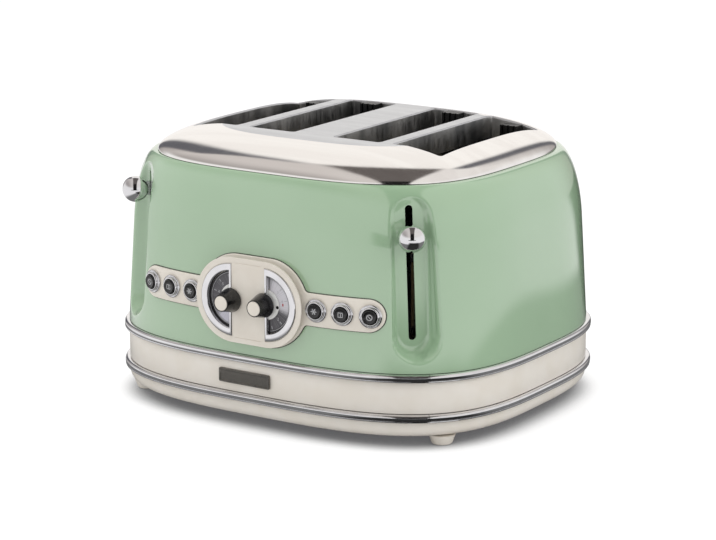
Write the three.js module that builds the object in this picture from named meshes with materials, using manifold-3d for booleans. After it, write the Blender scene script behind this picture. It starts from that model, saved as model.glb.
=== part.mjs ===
// A four-slot toaster in a retro style: an enamelled steel shell with a steel top plate, on a cream
// plastic base ringed by two bright trim bands. Millimetres, +Z up, front face towards -Y.
import * as THREE from 'three';
import { mergeVertices } from 'three/addons/utils/BufferGeometryUtils.js';
import Module from 'manifold-3d';

const wasm = await Module();
wasm.setup();

// Driving dimensions of the body
const bodyHalfWidth = 155.6;
const bodyHalfDepth = 133.4;
const cornerPower = 3.2;
const leanShare = 0.055;
const footHeight = 7;
const panHeight = 11.6;
const bandHeight = 5.4;
const skirtHeight = 22.1;
const shellHeight = 125.4;
const plateRise = 17.3;
const seat = 0.3;
const overrun = 5;

// Enamelled shell
const shellWall = 1.2;
const shoulderHeight = 48.4;
const shoulderInsetSide = 15.8;
const shoulderInsetFront = 6.4;
const rimWidth = 3.4;

// Steel top plate
const plateLedgeSide = 1.5;
const plateLedgeFront = 0.5;
const plateWall = 1;
const rollWidthSide = 41.4;
const rollWidthFront = 39.6;
const rollSlopeShare = 0.35;
const flangeDepth = 17;

// Bread slots
const slotLength = 135;
const slotMargin = 27.6;
const middleBar = 33.8;
const narrowBar = 11.1;
const slotCentreY = 10;
const slotCorner = 2;

// Trim bands, skirt, pan and feet
const bandProtrusion = 3.2;
const bandInset = 6;
const skirtWall = 2.2;
const panWall = 2.2;
const panTaper = 8;
const footTopRadius = 9.5;
const footBottomRadius = 7.5;
const footInsetSide = 29.6;
const footInsetFront = 44.4;

// Badge plate on the skirt
const badgeX = -6.5;
const badgeWidth = 42.7;
const badgeHeight = 10;
const badgeThickness = 1.6;

// Control panel
const panelRise = 38.8;
const panelThickness = 1.4;
const armHalfHeight = 11.2;
const armEndInset = 1.6;
const ovalRadius = 30.8;
const ovalFillet = 4;
const ovalRim = 1.8;
const bossDraft = 2;
const bossReach = 6.8;
const dialX = 13.65;
const wellDepth = 4;
const bezelMargin = 1.4;
const bezelWidth = 5.2;
const bezelBar = 2.2;
const bezelProud = 0.7;
const dialThickness = 1;
const postRadius = 2;
const postInset = 14.7;

// Control knobs
const knobBaseRadius = 8.55;
const knobFrontRadius = 5.75;
const knobLength = 12;
const knobLip = 0.65;
const capDepth = 1;
const capProud = 0.3;
const shaftRadius = 3;
const hubRadius = 10.7;
const hubThickness = 0.8;
const knobClearance = 0.6;

// Push buttons
const buttonX = [51.7, 71.1, 90.6];
const buttonNames = ['inner', 'middle', 'outer'];
const buttonRadius = 4.9;
const buttonProud = 4;
const buttonTravel = 1.8;
const buttonTail = 7;
const buttonBezelFlange = 2.15;
const buttonBezelProud = 2.9;
const buttonBarrelWall = 0.9;
const buttonBarrelDepth = 5;

// Flutes in the front corners and the levers that run in them
const cornerAngle = Math.PI / 4;
const fluteHalfWidth = 13.3;
const fluteFlareShare = 0.55;
const fluteTopDrop = 6.4;
const fluteBottomRise = 13;
const fluteSink = 12.5;
const fluteLeanShare = 0.01;
const leverSlotDrop = 12;
const leverSlotWidth = 5.2;
const leverOffset = 3.9;
const leverSkew = 0.032;
const ballRadius = 9.3;
const ballStandoff = 1.8;
const ballOffset = 1.6;
const armThickness = 2;
const armHeight = 10;
const armSocket = 5;
const armTopGap = 3.7;
const armBottomGap = 5.1;
const carriageLift = 12;
const leftCarriageRaise = 7.6;

// Chassis, rods and springs
const chassisWall = 1;
const chassisSideGap = 6.7;
const chassisFrontGap = 3.5;
const chassisRearGap = 5.5;
const chassisLeg = 8;
const chassisRise = 12.8;
const rodRadius = 2.5;
const rodGap = 7.5;
const rodClearance = 0.4;
const shelfDepth = 16;
const shelfOverhang = 1;
const springRadius = 3.4;
const springWire = 1;
const springCurls = 7;
const springLength = 50;
const springInset = 7;

// Carriage with its two bread racks
const bracketWall = 1.5;
const bracketMargin = 6.5;
const bracketHeight = 48;
const bracketDrop = 33.7;
const bushHalfWidth = 7;
const bushDepth = 10;
const spineHeight = 6;
const spineRise = 7;
const spineOverhang = 5;
const fingerHalfWidth = 9;
const fingerWidth = 3;
const fingerCount = 7;
const armatureReach = 16;
const armatureHalfWidth = 8;

// Heater boards and bread guards
const boardThickness = 1.2;
const boardGap = 5;
const boardRise = 6;
const boardTopGap = 7;
const guardWire = 2;
const guardTravelShare = 0.1;
const guardInset = 1.5;
const guardBottomGap = 2;
const guardRise = 16;
const guardTopDrop = 2;
const guardWireCount = 6;
const guardEndGap = 8;
const guardLinkDrop = 4;
const guardLinkEnd = 5;

// Guide blocks at the back ends of the slots
const guideHalfWidth = 6.8;
const guideReach = 9;
const guideTopGap = 0.6;
const guideFootDrop = 22.3;
const guideLinkHeight = 5;
const guideRib = 1.4;
const guideRibs = 3;

// Control boards and electromagnets
const pcbThickness = 1.6;
const pcbInnerX = 4;
const pcbMargin = 7.4;
const pcbHalfHeight = 28;
const potRadius = 8;
const potDepth = 9;
const switchHalfSize = 3;
const switchHeight = 0.5;
const magnetHalfWidth = 10;
const magnetDepth = 14;
const magnetGap = 0.5;
const magnetSetback = 2.5;
const coilRadius = 6;
const coilHeight = 16;

// Crumb tray, its runners and the cord gland
const traySideGap = 4.5;
const trayWall = 1;
const trayHeight = 8;
const trayFrontGap = 2;
const trayClearance = 0.6;
const runnerInset = 10;
const runnerWidth = 4;
const runnerHeight = 18.2;
const coverThickness = 2.4;
const coverLap = 2.6;
const coverSideLap = 6;
const gripHalfWidth = 40;
const gripHeight = 5;
const gripReach = 4;
const glandInset = 37.6;
const glandRadius = 7.5;
const glandBore = 4;
const glandProud = 7;
const glandDepth = 8;

// Counts of facets
const ringPoints = 48;
const shoulderSteps = 5;
const rollSteps = 5;
const arcSteps = 9;
const cornerSteps = 2;
const roundSides = 16;
const smallSides = 8;

// Levels, stacked up from the floor
const panBottomZ = footHeight + seat;
const panTopZ = panBottomZ + panHeight;
const lowerBandZ = panTopZ + seat;
const skirtBottomZ = lowerBandZ + bandHeight + seat;
const skirtTopZ = skirtBottomZ + skirtHeight;
const upperBandZ = skirtTopZ + seat;
const shellBottomZ = upperBandZ + bandHeight + seat;
const shellTopZ = shellBottomZ + shellHeight;
const plateBottomZ = shellTopZ + seat;
const plateTopZ = plateBottomZ + plateRise;
const shoulderZ = shellTopZ - shoulderHeight;
const panFloorZ = panBottomZ + panWall;
const trayZ = panFloorZ + runnerHeight + seat;
const panelZ = shellBottomZ + panelRise;
const fluteTopZ = shellTopZ - fluteTopDrop;
const fluteBottomZ = shellBottomZ + fluteBottomRise;
const leverSlotTopZ = shellTopZ - leverSlotDrop;
const ballZ = leverSlotTopZ - armTopGap - carriageLift - armHeight / 2;
const bracketBottomZ = ballZ - bracketDrop;
const spineZ = bracketBottomZ + spineRise;
const guardBottomZ = trayZ + trayHeight + guardRise;
const carriageDrop = spineZ - spineHeight / 2 - guardBottomGap - guardBottomZ;
const leverSlotBottomZ = ballZ - carriageDrop - armHeight / 2 - armBottomGap;
const boardBottomZ = guardBottomZ + boardRise;
const boardTopZ = plateTopZ - flangeDepth - boardTopGap;
const guardTopZ = boardTopZ - guardTopDrop;

// The top plate's outline and the rows of places that follow from it
const shellTopLean = leanShare * shellHeight;
const plateHalfWidth = bodyHalfWidth - shellTopLean - shoulderInsetSide - plateLedgeSide;
const plateHalfDepth = bodyHalfDepth - shellTopLean - shoulderInsetFront - plateLedgeFront;
const slotWidth = (plateHalfWidth - slotMargin - middleBar / 2 - narrowBar) / 2;
const slotFrontY = slotCentreY - slotLength / 2;
const slotRearY = slotCentreY + slotLength / 2;
const innerSlotX = middleBar / 2 + slotWidth / 2;
const outerSlotX = innerSlotX + slotWidth + narrowBar;
const unitX = (innerSlotX + outerSlotX) / 2;
const chassisFrontY = slotFrontY - chassisFrontGap;
const chassisRearY = slotRearY + chassisRearGap;
const chassisTopZ = plateTopZ - flangeDepth - seat;
const chassisHalfWidth = outerSlotX + slotWidth / 2 + chassisSideGap;
const bracketHalfLength = (slotWidth + narrowBar) / 2 + bracketMargin;
const shelfHalfLength = bracketHalfLength + shelfOverhang;
const springX = bracketHalfLength - springInset;
const rodY = chassisFrontY - chassisWall - rodGap;
const bracketY = rodY - bushDepth / 2;
const panelFrontY = -(bodyHalfDepth - leanShare * (panelZ - shellBottomZ));
const bossY = panelFrontY - bossReach;
const wellY = bossY + wellDepth;
const bezelY = bossY - bezelProud;
const hubY = wellY - seat - dialThickness - seat;
const knobY = bezelY - seat;
const knobFrontY = knobY - knobLength;
const pcbY = switchPlace(buttonX[2]).y + switchHeight;
const trayHalfWidth = chassisHalfWidth - chassisLeg - traySideGap;
const runnerX = trayHalfWidth - runnerInset;
const glandX = bodyHalfWidth - glandInset;

// Outlines that follow from the sizes
const creaseHalfWidth = plateHalfWidth - rollWidthSide;
const creaseHalfDepth = plateHalfDepth - rollWidthFront;
const bossBaseRadius = ovalRadius - ovalRim;
const bossFaceRadius = bossBaseRadius - bossDraft;
const bezelRadius = bossFaceRadius - bezelMargin;
const bezelInnerRadius = bezelRadius - bezelWidth;
const capRadius = knobFrontRadius - knobLip;
const buttonBarrelRadius = buttonRadius + seat + buttonBarrelWall;
const buttonBezelRadius = buttonBarrelRadius + buttonBezelFlange;
const cornerReach = Math.SQRT2
  / (bodyHalfWidth ** -cornerPower + bodyHalfDepth ** -cornerPower) ** (1 / cornerPower);
const fluteFloor = cornerReach - fluteSink;
const ballDistance = fluteFloor + ballStandoff + ballRadius;

// Solids and joins

function toSolid(geometry) {
  const bare = new THREE.BufferGeometry();
  bare.setAttribute('position', geometry.getAttribute('position'));
  bare.setIndex(geometry.index);
  const merged = mergeVertices(bare);
  return new wasm.Manifold(new wasm.Mesh({
    numProp: 3,
    vertProperties: Float32Array.from(merged.getAttribute('position').array),
    triVerts: Uint32Array.from(merged.index.array),
  }));
}

function toGeometry(solid) {
  const mesh = solid.getMesh();
  const geometry = new THREE.BufferGeometry();
  geometry.setAttribute('position', new THREE.BufferAttribute(mesh.vertProperties, 3));
  geometry.setIndex(new THREE.BufferAttribute(mesh.triVerts, 1));
  geometry.computeVertexNormals();
  return geometry;
}

function joined(geometries) {
  return geometries.map(toSolid).reduce((whole, piece) => whole.add(piece));
}

// Closes a stack of rings, each counter-clockwise seen from above and listed upwards
function skin(rings) {
  const points = [];
  const faces = [];
  const count = rings[0].length;
  rings.flat().forEach((point) => points.push(point.x, point.y, point.z));
  for (let level = 0; level < rings.length - 1; level += 1) {
    for (let step = 0; step < count; step += 1) {
      const next = (step + 1) % count;
      const low = level * count;
      const high = low + count;
      faces.push(low + step, low + next, high + next, low + step, high + next, high + step);
    }
  }
  const caps = [[rings[0], 0, true], [rings[rings.length - 1], (rings.length - 1) * count, false]];
  caps.forEach(([ring, first, downward]) => {
    const centre = new THREE.Vector3();
    ring.forEach((point) => centre.add(point));
    centre.divideScalar(count);
    const hub = points.length / 3;
    points.push(centre.x, centre.y, centre.z);
    for (let step = 0; step < count; step += 1) {
      const next = (step + 1) % count;
      faces.push(hub, first + (downward ? next : step), first + (downward ? step : next));
    }
  });
  const geometry = new THREE.BufferGeometry();
  geometry.setAttribute('position', new THREE.Float32BufferAttribute(points, 3));
  geometry.setIndex(faces);
  return geometry;
}

function block(acrossX, alongY, upZ) {
  const size = [acrossX, alongY, upZ].map((span) => Math.abs(span[1] - span[0]));
  const middle = [acrossX, alongY, upZ].map((span) => (span[0] + span[1]) / 2);
  return new THREE.BoxGeometry(...size).translate(...middle);
}

// A round bar along Y between two places, centred on x and z
function barAlongY(radius, fromY, toY, x, z, sides = roundSides) {
  const length = Math.abs(toY - fromY);
  const bar = new THREE.CylinderGeometry(radius, radius, length, sides);
  return bar.translate(x, (fromY + toY) / 2, z);
}

function barAlongZ(radius, fromZ, toZ, x, y, sides = roundSides) {
  const bar = new THREE.CylinderGeometry(radius, radius, toZ - fromZ, sides);
  return bar.rotateX(Math.PI / 2).translate(x, y, (fromZ + toZ) / 2);
}

// An outline in X and Z, pushed from one Y place to another
function plateAlongY(shape, fromY, toY, steps = arcSteps) {
  const depth = Math.abs(toY - fromY);
  const plate = new THREE.ExtrudeGeometry(shape, { depth, bevelEnabled: false, curveSegments: steps });
  return plate.rotateX(Math.PI / 2).translate(0, Math.max(fromY, toY), 0);
}

// A turned piece: the profile lists radius and Y, and the piece turns about a line along Y
function turned(profile, sides = roundSides) {
  return new THREE.LatheGeometry(profile.map(([radius, y]) => new THREE.Vector2(radius, y)), sides);
}

// The body's outline

function superellipse(halfWidth, halfDepth, z) {
  const ring = [];
  for (let step = 0; step < ringPoints; step += 1) {
    const angle = (2 * Math.PI * step) / ringPoints;
    const cosine = Math.cos(angle);
    const sine = Math.sin(angle);
    const x = halfWidth * Math.sign(cosine) * Math.abs(cosine) ** (2 / cornerPower);
    const y = halfDepth * Math.sign(sine) * Math.abs(sine) ** (2 / cornerPower);
    ring.push(new THREE.Vector3(x, y, z));
  }
  return ring;
}

// How far the shell has drawn in at a height, at its sides and at its front
function shellInset(z) {
  const lean = leanShare * (z - shellBottomZ);
  const climb = Math.min(Math.max((z - shoulderZ) / shoulderHeight, 0), 1);
  const roll = 1 - Math.sqrt(1 - climb * climb);
  return [lean + shoulderInsetSide * roll, lean + shoulderInsetFront * roll];
}

function shellLevels() {
  const levels = [shellBottomZ, shoulderZ];
  for (let step = 1; step <= shoulderSteps; step += 1) {
    levels.push(shoulderZ + shoulderHeight * Math.sin((step / shoulderSteps) * (Math.PI / 2)));
  }
  return levels;
}

// The shell's outer shape grown by an offset, from a lower to an upper overrun
function bodySolid(offset, below, above) {
  const rings = shellLevels().map((z, index, all) => {
    const [side, front] = shellInset(z);
    let height = z;
    if (index === 0) height = z - below;
    if (index === all.length - 1) height = z + above;
    return superellipse(bodyHalfWidth - side + offset, bodyHalfDepth - front + offset, height);
  });
  return toSolid(skin(rings));
}

// A straight-sided prism of the body's foot outline
function footPrism(offset, fromZ, toZ) {
  const ring = (z) => superellipse(bodyHalfWidth + offset, bodyHalfDepth + offset, z);
  return toSolid(skin([ring(fromZ), ring(toZ)]));
}

// The shell's front surface: its Y place and its slope at an X place, level with the panel
function frontSurface(x) {
  const inset = leanShare * (panelZ - shellBottomZ);
  const halfWidth = bodyHalfWidth - inset;
  const halfDepth = bodyHalfDepth - inset;
  const share = (Math.abs(x) / halfWidth) ** cornerPower;
  const y = -halfDepth * (1 - share) ** (1 / cornerPower);
  const slope = (halfDepth / halfWidth) * (share ** (1 - 1 / cornerPower))
    * (1 - share) ** (1 / cornerPower - 1);
  return { y, angle: Math.atan(slope) };
}

// Where a pressed button's tail ends, which is where its switch stands
function switchPlace(x) {
  const { y, angle } = frontSurface(x);
  return {
    x: x - buttonTail * Math.sin(angle),
    y: y + buttonTail * Math.cos(angle) + buttonRadius * Math.sin(angle) + buttonTravel + seat,
  };
}

// Moves a piece drawn about the origin to a button's place, square to the panel
function atButton(geometry, side, x) {
  const { y, angle } = frontSurface(x);
  return geometry.rotateZ(side * angle).translate(side * x, y, 0);
}

// Turns a piece drawn on the front to a front corner
function atCorner(geometry, side) {
  return geometry.translate(side * leverOffset, 0, 0).rotateZ(side * cornerAngle);
}

// Leans a flute or a lever slot over towards the middle of the toaster, about the middle of the slot
function skewed(geometry, side) {
  const middleZ = (leverSlotTopZ + leverSlotBottomZ) / 2;
  return geometry.translate(0, 0, -middleZ).rotateY(-side * leverSkew).translate(0, 0, middleZ);
}

// Shell with its flutes, lever slots and holes for the controls

function floorDistance(z) {
  return fluteFloor + fluteLeanShare * (leverSlotTopZ - z);
}

// A stadium outline on the leaning floor of a flute, raised from it by a height
function fluteRing(grown, raised) {
  const halfWidth = fluteHalfWidth + grown + fluteFlareShare * raised;
  const topZ = fluteTopZ + grown + fluteFlareShare * raised;
  const bottomZ = fluteBottomZ - grown - fluteFlareShare * raised;
  const ring = [];
  for (let step = 0; step <= arcSteps; step += 1) {
    const angle = (Math.PI * step) / arcSteps;
    ring.push([halfWidth * Math.cos(angle), topZ - halfWidth + halfWidth * Math.sin(angle)]);
  }
  for (let step = 0; step <= arcSteps; step += 1) {
    const angle = Math.PI + (Math.PI * step) / arcSteps;
    ring.push([halfWidth * Math.cos(angle), bottomZ + halfWidth + halfWidth * Math.sin(angle)]);
  }
  return ring.map(([x, z]) => new THREE.Vector3(x, -floorDistance(z) - raised, z));
}

function flute(side, grown) {
  const outward = 4 * overrun;
  const shape = skin([fluteRing(grown, -grown), fluteRing(grown, outward)]);
  return toSolid(atCorner(skewed(shape, side), side));
}

function stadium(halfWidth, bottomZ, topZ) {
  const shape = new THREE.Shape();
  shape.absarc(0, topZ - halfWidth, halfWidth, 0, Math.PI, false);
  shape.absarc(0, bottomZ + halfWidth, halfWidth, Math.PI, 2 * Math.PI, false);
  return shape;
}

function leverSlot(side) {
  const shape = stadium(leverSlotWidth / 2, leverSlotBottomZ, leverSlotTopZ);
  const near = -(ballDistance + overrun);
  const far = -(fluteFloor - 2 * overrun);
  const bar = plateAlongY(shape, near, far, smallSides / 2);
  return toSolid(atCorner(skewed(bar, side), side));
}

function postPlaces() {
  const inner = buttonX[0] - postInset;
  const outer = (buttonX[1] + buttonX[2]) / 2;
  return [-outer, -inner, inner, outer];
}

function shellHoles() {
  const holes = postPlaces().map((x) => (
    barAlongY(postRadius + knobClearance, panelFrontY - overrun, pcbY, x, panelZ, smallSides)
  ));
  [-1, 1].forEach((side) => {
    holes.push(barAlongY(shaftRadius + knobClearance, bossY, pcbY, side * dialX, panelZ, smallSides));
    buttonX.forEach((x) => {
      const hole = barAlongY(buttonBarrelRadius + seat, -overrun, 2 * overrun, 0, panelZ);
      holes.push(atButton(hole, side, x));
    });
  });
  return joined(holes);
}

function outerShell() {
  const rimRing = (z) => superellipse(plateHalfWidth - rimWidth, plateHalfDepth - rimWidth, z);
  let outside = bodySolid(0, 0, 0);
  let inside = bodySolid(-shellWall, overrun, -shellWall);
  [-1, 1].forEach((side) => {
    outside = outside.subtract(flute(side, 0));
    inside = inside.subtract(flute(side, shellWall));
  });
  let shell = outside.subtract(inside);
  shell = shell.subtract(toSolid(skin([rimRing(shoulderZ), rimRing(plateTopZ)])));
  [-1, 1].forEach((side) => {
    shell = shell.subtract(leverSlot(side));
  });
  return toGeometry(shell.subtract(shellHoles()));
}

// Top plate with its four flanged slots

function slotPrism(x, grown, fromZ, toZ) {
  const halfWidth = slotWidth / 2 + grown;
  const halfLength = slotLength / 2 + grown;
  const shape = new THREE.Shape();
  const corners = [[1, 1, 0], [-1, 1, 1], [-1, -1, 2], [1, -1, 3]];
  corners.forEach(([alongX, alongY, quarter]) => {
    const centreX = x + alongX * (halfWidth - slotCorner);
    const centreY = slotCentreY + alongY * (halfLength - slotCorner);
    const from = (quarter * Math.PI) / 2;
    shape.absarc(centreX, centreY, slotCorner, from, from + Math.PI / 2, false);
  });
  const prism = new THREE.ExtrudeGeometry(shape, {
    depth: toZ - fromZ, bevelEnabled: false, curveSegments: cornerSteps,
  });
  return toSolid(prism.translate(0, 0, fromZ));
}

function plateDome(thinner, below) {
  const rings = [];
  for (let step = 0; step <= rollSteps; step += 1) {
    const share = Math.cos((step / rollSteps) * (Math.PI / 2));
    const drop = plateRise * (rollSlopeShare * share
      + (1 - rollSlopeShare) * (1 - Math.sqrt(1 - share * share)));
    const halfWidth = creaseHalfWidth + (plateHalfWidth - creaseHalfWidth) * share - thinner;
    const halfDepth = creaseHalfDepth + (plateHalfDepth - creaseHalfDepth) * share - thinner;
    const height = plateTopZ - drop - thinner - (step === 0 ? below - thinner : 0);
    rings.push(superellipse(halfWidth, halfDepth, height));
  }
  return toSolid(skin(rings));
}

function slotPlaces() {
  return [-outerSlotX, -innerSlotX, innerSlotX, outerSlotX];
}

function topPlate() {
  const flangeZ = plateTopZ - flangeDepth;
  const outside = plateDome(0, 0);
  let plate = outside.subtract(plateDome(plateWall, overrun));
  slotPlaces().forEach((x) => {
    plate = plate.add(slotPrism(x, plateWall, flangeZ, plateTopZ).intersect(outside));
  });
  slotPlaces().forEach((x) => {
    plate = plate.subtract(slotPrism(x, 0, flangeZ - overrun, plateTopZ + overrun));
  });
  return toGeometry(plate);
}

// Trim bands, skirt, pan, feet and badge

function trimBand(bottomZ) {
  const rings = [];
  const steps = 5;
  for (let step = 0; step <= steps; step += 1) {
    const angle = -Math.PI / 2 + (Math.PI * step) / steps;
    const offset = bandProtrusion * Math.cos(angle);
    const z = bottomZ + (bandHeight / 2) * (1 + Math.sin(angle));
    rings.push(superellipse(bodyHalfWidth + offset, bodyHalfDepth + offset, z));
  }
  const hollow = footPrism(-bandInset, bottomZ - overrun, bottomZ + bandHeight + overrun);
  return toGeometry(toSolid(skin(rings)).subtract(hollow));
}

function glandHole() {
  return toSolid(barAlongY(glandRadius + seat, 0, bodyHalfDepth, glandX, glandZ()));
}

function glandZ() {
  return (skirtBottomZ + skirtTopZ) / 2;
}

function baseSkirt() {
  const wall = footPrism(0, skirtBottomZ, skirtTopZ);
  const hollow = footPrism(-skirtWall, skirtBottomZ - overrun, skirtTopZ + overrun);
  const halfWidth = trayHalfWidth + trayClearance;
  const opening = block([-halfWidth, halfWidth], [slotRearY, bodyHalfDepth + overrun],
    [trayZ - trayClearance, trayZ + trayHeight + trayClearance]);
  return toGeometry(wall.subtract(hollow).subtract(toSolid(opening)).subtract(glandHole()));
}

function basePan() {
  const ring = (inset, z) => superellipse(bodyHalfWidth - inset, bodyHalfDepth - inset, z);
  const mid = panBottomZ + panHeight / 3;
  const outside = toSolid(skin([
    ring(panTaper, panBottomZ), ring(panTaper / 2, mid), ring(0, panTopZ),
  ]));
  const inside = toSolid(skin([
    ring(panTaper + panWall, panFloorZ), ring(panTaper / 2 + panWall, mid + panWall),
    ring(panWall, panTopZ + overrun),
  ]));
  const runners = [-1, 1].map((side) => block(
    [side * runnerX, side * (runnerX + runnerWidth)],
    [chassisFrontY + overrun, chassisRearY + 2 * overrun],
    [panBottomZ + panWall / 2, panFloorZ + runnerHeight],
  ));
  return toGeometry(outside.subtract(inside).add(joined(runners)));
}

function foot() {
  const cone = new THREE.CylinderGeometry(footTopRadius, footBottomRadius, footHeight, roundSides);
  return cone.rotateX(Math.PI / 2).translate(0, 0, footHeight / 2);
}

function badgePlate() {
  const z = (skirtBottomZ + skirtTopZ) / 2;
  const window = block([badgeX - badgeWidth / 2, badgeX + badgeWidth / 2], [-2 * bodyHalfDepth, 0],
    [z - badgeHeight / 2, z + badgeHeight / 2]);
  const outer = footPrism(seat + badgeThickness, skirtBottomZ, skirtTopZ);
  const inner = footPrism(seat, skirtBottomZ, skirtTopZ);
  return toGeometry(outer.subtract(inner).intersect(toSolid(window)));
}

// Control panel, with its raised oval and the wells for the two dials

function panelOutline() {
  const shape = new THREE.Shape();
  const reach = ovalRadius + ovalFillet;
  const rise = armHalfHeight + ovalFillet;
  const filletX = dialX + Math.sqrt(reach * reach - rise * rise);
  const turn = Math.atan2(rise, filletX - dialX);
  const armX = buttonX[2] - armEndInset;
  const half = Math.PI / 2;
  shape.absarc(armX, 0, armHalfHeight, -half, half, false);
  shape.absarc(filletX, rise, ovalFillet, 3 * half, Math.PI + turn, true);
  shape.absarc(dialX, 0, ovalRadius, turn, half, false);
  shape.absarc(-dialX, 0, ovalRadius, half, Math.PI - turn, false);
  shape.absarc(-filletX, rise, ovalFillet, -turn, -half, true);
  shape.absarc(-armX, 0, armHalfHeight, half, 3 * half, false);
  shape.absarc(-filletX, -rise, ovalFillet, half, turn, true);
  shape.absarc(-dialX, 0, ovalRadius, Math.PI + turn, 3 * half, false);
  shape.absarc(dialX, 0, ovalRadius, -half, -turn, false);
  shape.absarc(filletX, -rise, ovalFillet, Math.PI - turn, half, true);
  return shape;
}

// A stadium ring lying across the front, as seen by someone facing the panel
function ovalRing(radius, y) {
  const ring = [];
  for (let step = 0; step <= arcSteps; step += 1) {
    const angle = -Math.PI / 2 + (Math.PI * step) / arcSteps;
    ring.push([dialX + radius * Math.cos(angle), radius * Math.sin(angle)]);
  }
  for (let step = 0; step <= arcSteps; step += 1) {
    const angle = Math.PI / 2 + (Math.PI * step) / arcSteps;
    ring.push([-dialX + radius * Math.cos(angle), radius * Math.sin(angle)]);
  }
  return ring.map(([x, z]) => new THREE.Vector3(x, y, panelZ + z));
}

function panelBoss() {
  const slack = bossBaseRadius - bossFaceRadius;
  const rings = [
    ovalRing(bossBaseRadius, panelFrontY + overrun),
    ovalRing(bossBaseRadius, panelFrontY - panelThickness - seat),
    ovalRing(bossBaseRadius - slack / 3, bossY + bossReach / 4),
    ovalRing(bossFaceRadius, bossY),
  ];
  return toSolid(skin(rings));
}

// Half a disc on the outer side of a dial's axis
function halfDisc(radius, barEdge = 0) {
  const shape = new THREE.Shape();
  const turn = Math.acos(barEdge / radius);
  shape.absarc(0, 0, radius, -turn, turn, false);
  return shape;
}

function dialPiece(side, shape, fromY, toY) {
  const piece = plateAlongY(shape, fromY, toY);
  if (side < 0) piece.rotateY(Math.PI);
  return toSolid(piece.translate(side * dialX, 0, panelZ));
}

function hubPocket(side) {
  const from = wellY - seat;
  const to = hubY - hubThickness - seat;
  return toSolid(barAlongY(hubRadius + knobClearance, from, to, side * dialX, panelZ));
}

function shaftHole(side) {
  return toSolid(barAlongY(shaftRadius + knobClearance, knobY, pcbY, side * dialX, panelZ, smallSides));
}

function controlPanel() {
  const outline = plateAlongY(panelOutline(), 2 * panelFrontY, slotFrontY).translate(0, 0, panelZ);
  const body = bodySolid(seat, 0, 0);
  let panel = bodySolid(seat + panelThickness, 0, 0).intersect(toSolid(outline)).add(panelBoss());
  panel = panel.subtract(body);
  const posts = postPlaces().map((x) => (
    barAlongY(postRadius, frontSurface(x).y - seat - panelThickness / 2, pcbY - seat, x, panelZ, smallSides)
  ));
  panel = panel.add(joined(posts));
  [-1, 1].forEach((side) => {
    panel = panel.subtract(dialPiece(side, halfDisc(bezelRadius + seat), wellY, 2 * bossY));
    panel = panel.subtract(hubPocket(side)).subtract(shaftHole(side));
    buttonX.forEach((x) => {
      const hole = barAlongY(buttonBarrelRadius + seat, -overrun, 2 * overrun, 0, panelZ);
      panel = panel.subtract(toSolid(atButton(hole, side, x)));
    });
  });
  return toGeometry(panel);
}

function dialBezel(side) {
  const backY = wellY - seat;
  const ring = dialPiece(side, halfDisc(bezelRadius), backY, bezelY)
    .subtract(dialPiece(side, halfDisc(bezelInnerRadius, bezelBar), backY + overrun, bezelY - overrun));
  return toGeometry(ring.subtract(hubPocket(side)).subtract(shaftHole(side)));
}

function dialFace(side) {
  const fromY = wellY - seat;
  const shape = halfDisc(bezelInnerRadius - seat, bezelBar + seat);
  const face = dialPiece(side, shape, fromY, fromY - dialThickness);
  return toGeometry(face.subtract(shaftHole(side)));
}

function buttonBezel(side, x) {
  const faceY = -(seat + panelThickness + buttonBezelProud);
  const flange = turned([
    [0, faceY], [buttonBezelRadius - buttonBezelProud, faceY],
    [buttonBezelRadius, faceY + buttonBezelProud / 2], [buttonBezelRadius, 0], [0, 0],
  ]);
  const barrel = barAlongY(buttonBarrelRadius, faceY + buttonBezelProud / 2, buttonBarrelDepth, 0, 0);
  const bore = barAlongY(buttonRadius + seat, -2 * overrun, 2 * overrun, 0, 0);
  const placed = [flange, barrel, bore].map((piece) => (
    toSolid(atButton(piece.translate(0, 0, panelZ), side, x))
  ));
  const flangeSeat = bodySolid(2 * seat + panelThickness, 0, 0);
  return toGeometry(placed[0].subtract(flangeSeat).add(placed[1]).subtract(placed[2]));
}

function pushButton(side, x) {
  const faceY = -(seat + panelThickness + buttonProud);
  const bar = turned([
    [0, faceY], [buttonRadius - buttonTravel / 2, faceY], [buttonRadius, faceY + buttonTravel / 2],
    [buttonRadius, buttonTail], [0, buttonTail],
  ]);
  return atButton(bar.translate(0, 0, panelZ), side, x);
}

// Control knobs

function controlKnob() {
  const lip = capRadius + seat;
  return turned([
    [0, knobFrontY + capDepth], [lip, knobFrontY + capDepth], [lip, knobFrontY],
    [knobFrontRadius, knobFrontY], [knobBaseRadius, knobY - seat], [knobBaseRadius, knobY],
    [shaftRadius, knobY], [shaftRadius, hubY - hubThickness], [hubRadius, hubY - hubThickness],
    [hubRadius, hubY], [shaftRadius, hubY], [shaftRadius, pcbY - 2 * seat - capDepth],
    [0, pcbY - 2 * seat - capDepth],
  ]);
}

function knobCap() {
  const backY = knobFrontY + capDepth - seat;
  return turned([
    [0, knobFrontY - capProud], [capRadius - capProud, knobFrontY - capProud],
    [capRadius, knobFrontY], [capRadius, backY], [0, backY],
  ]);
}

// Chassis plates, guide rods and return springs

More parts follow.
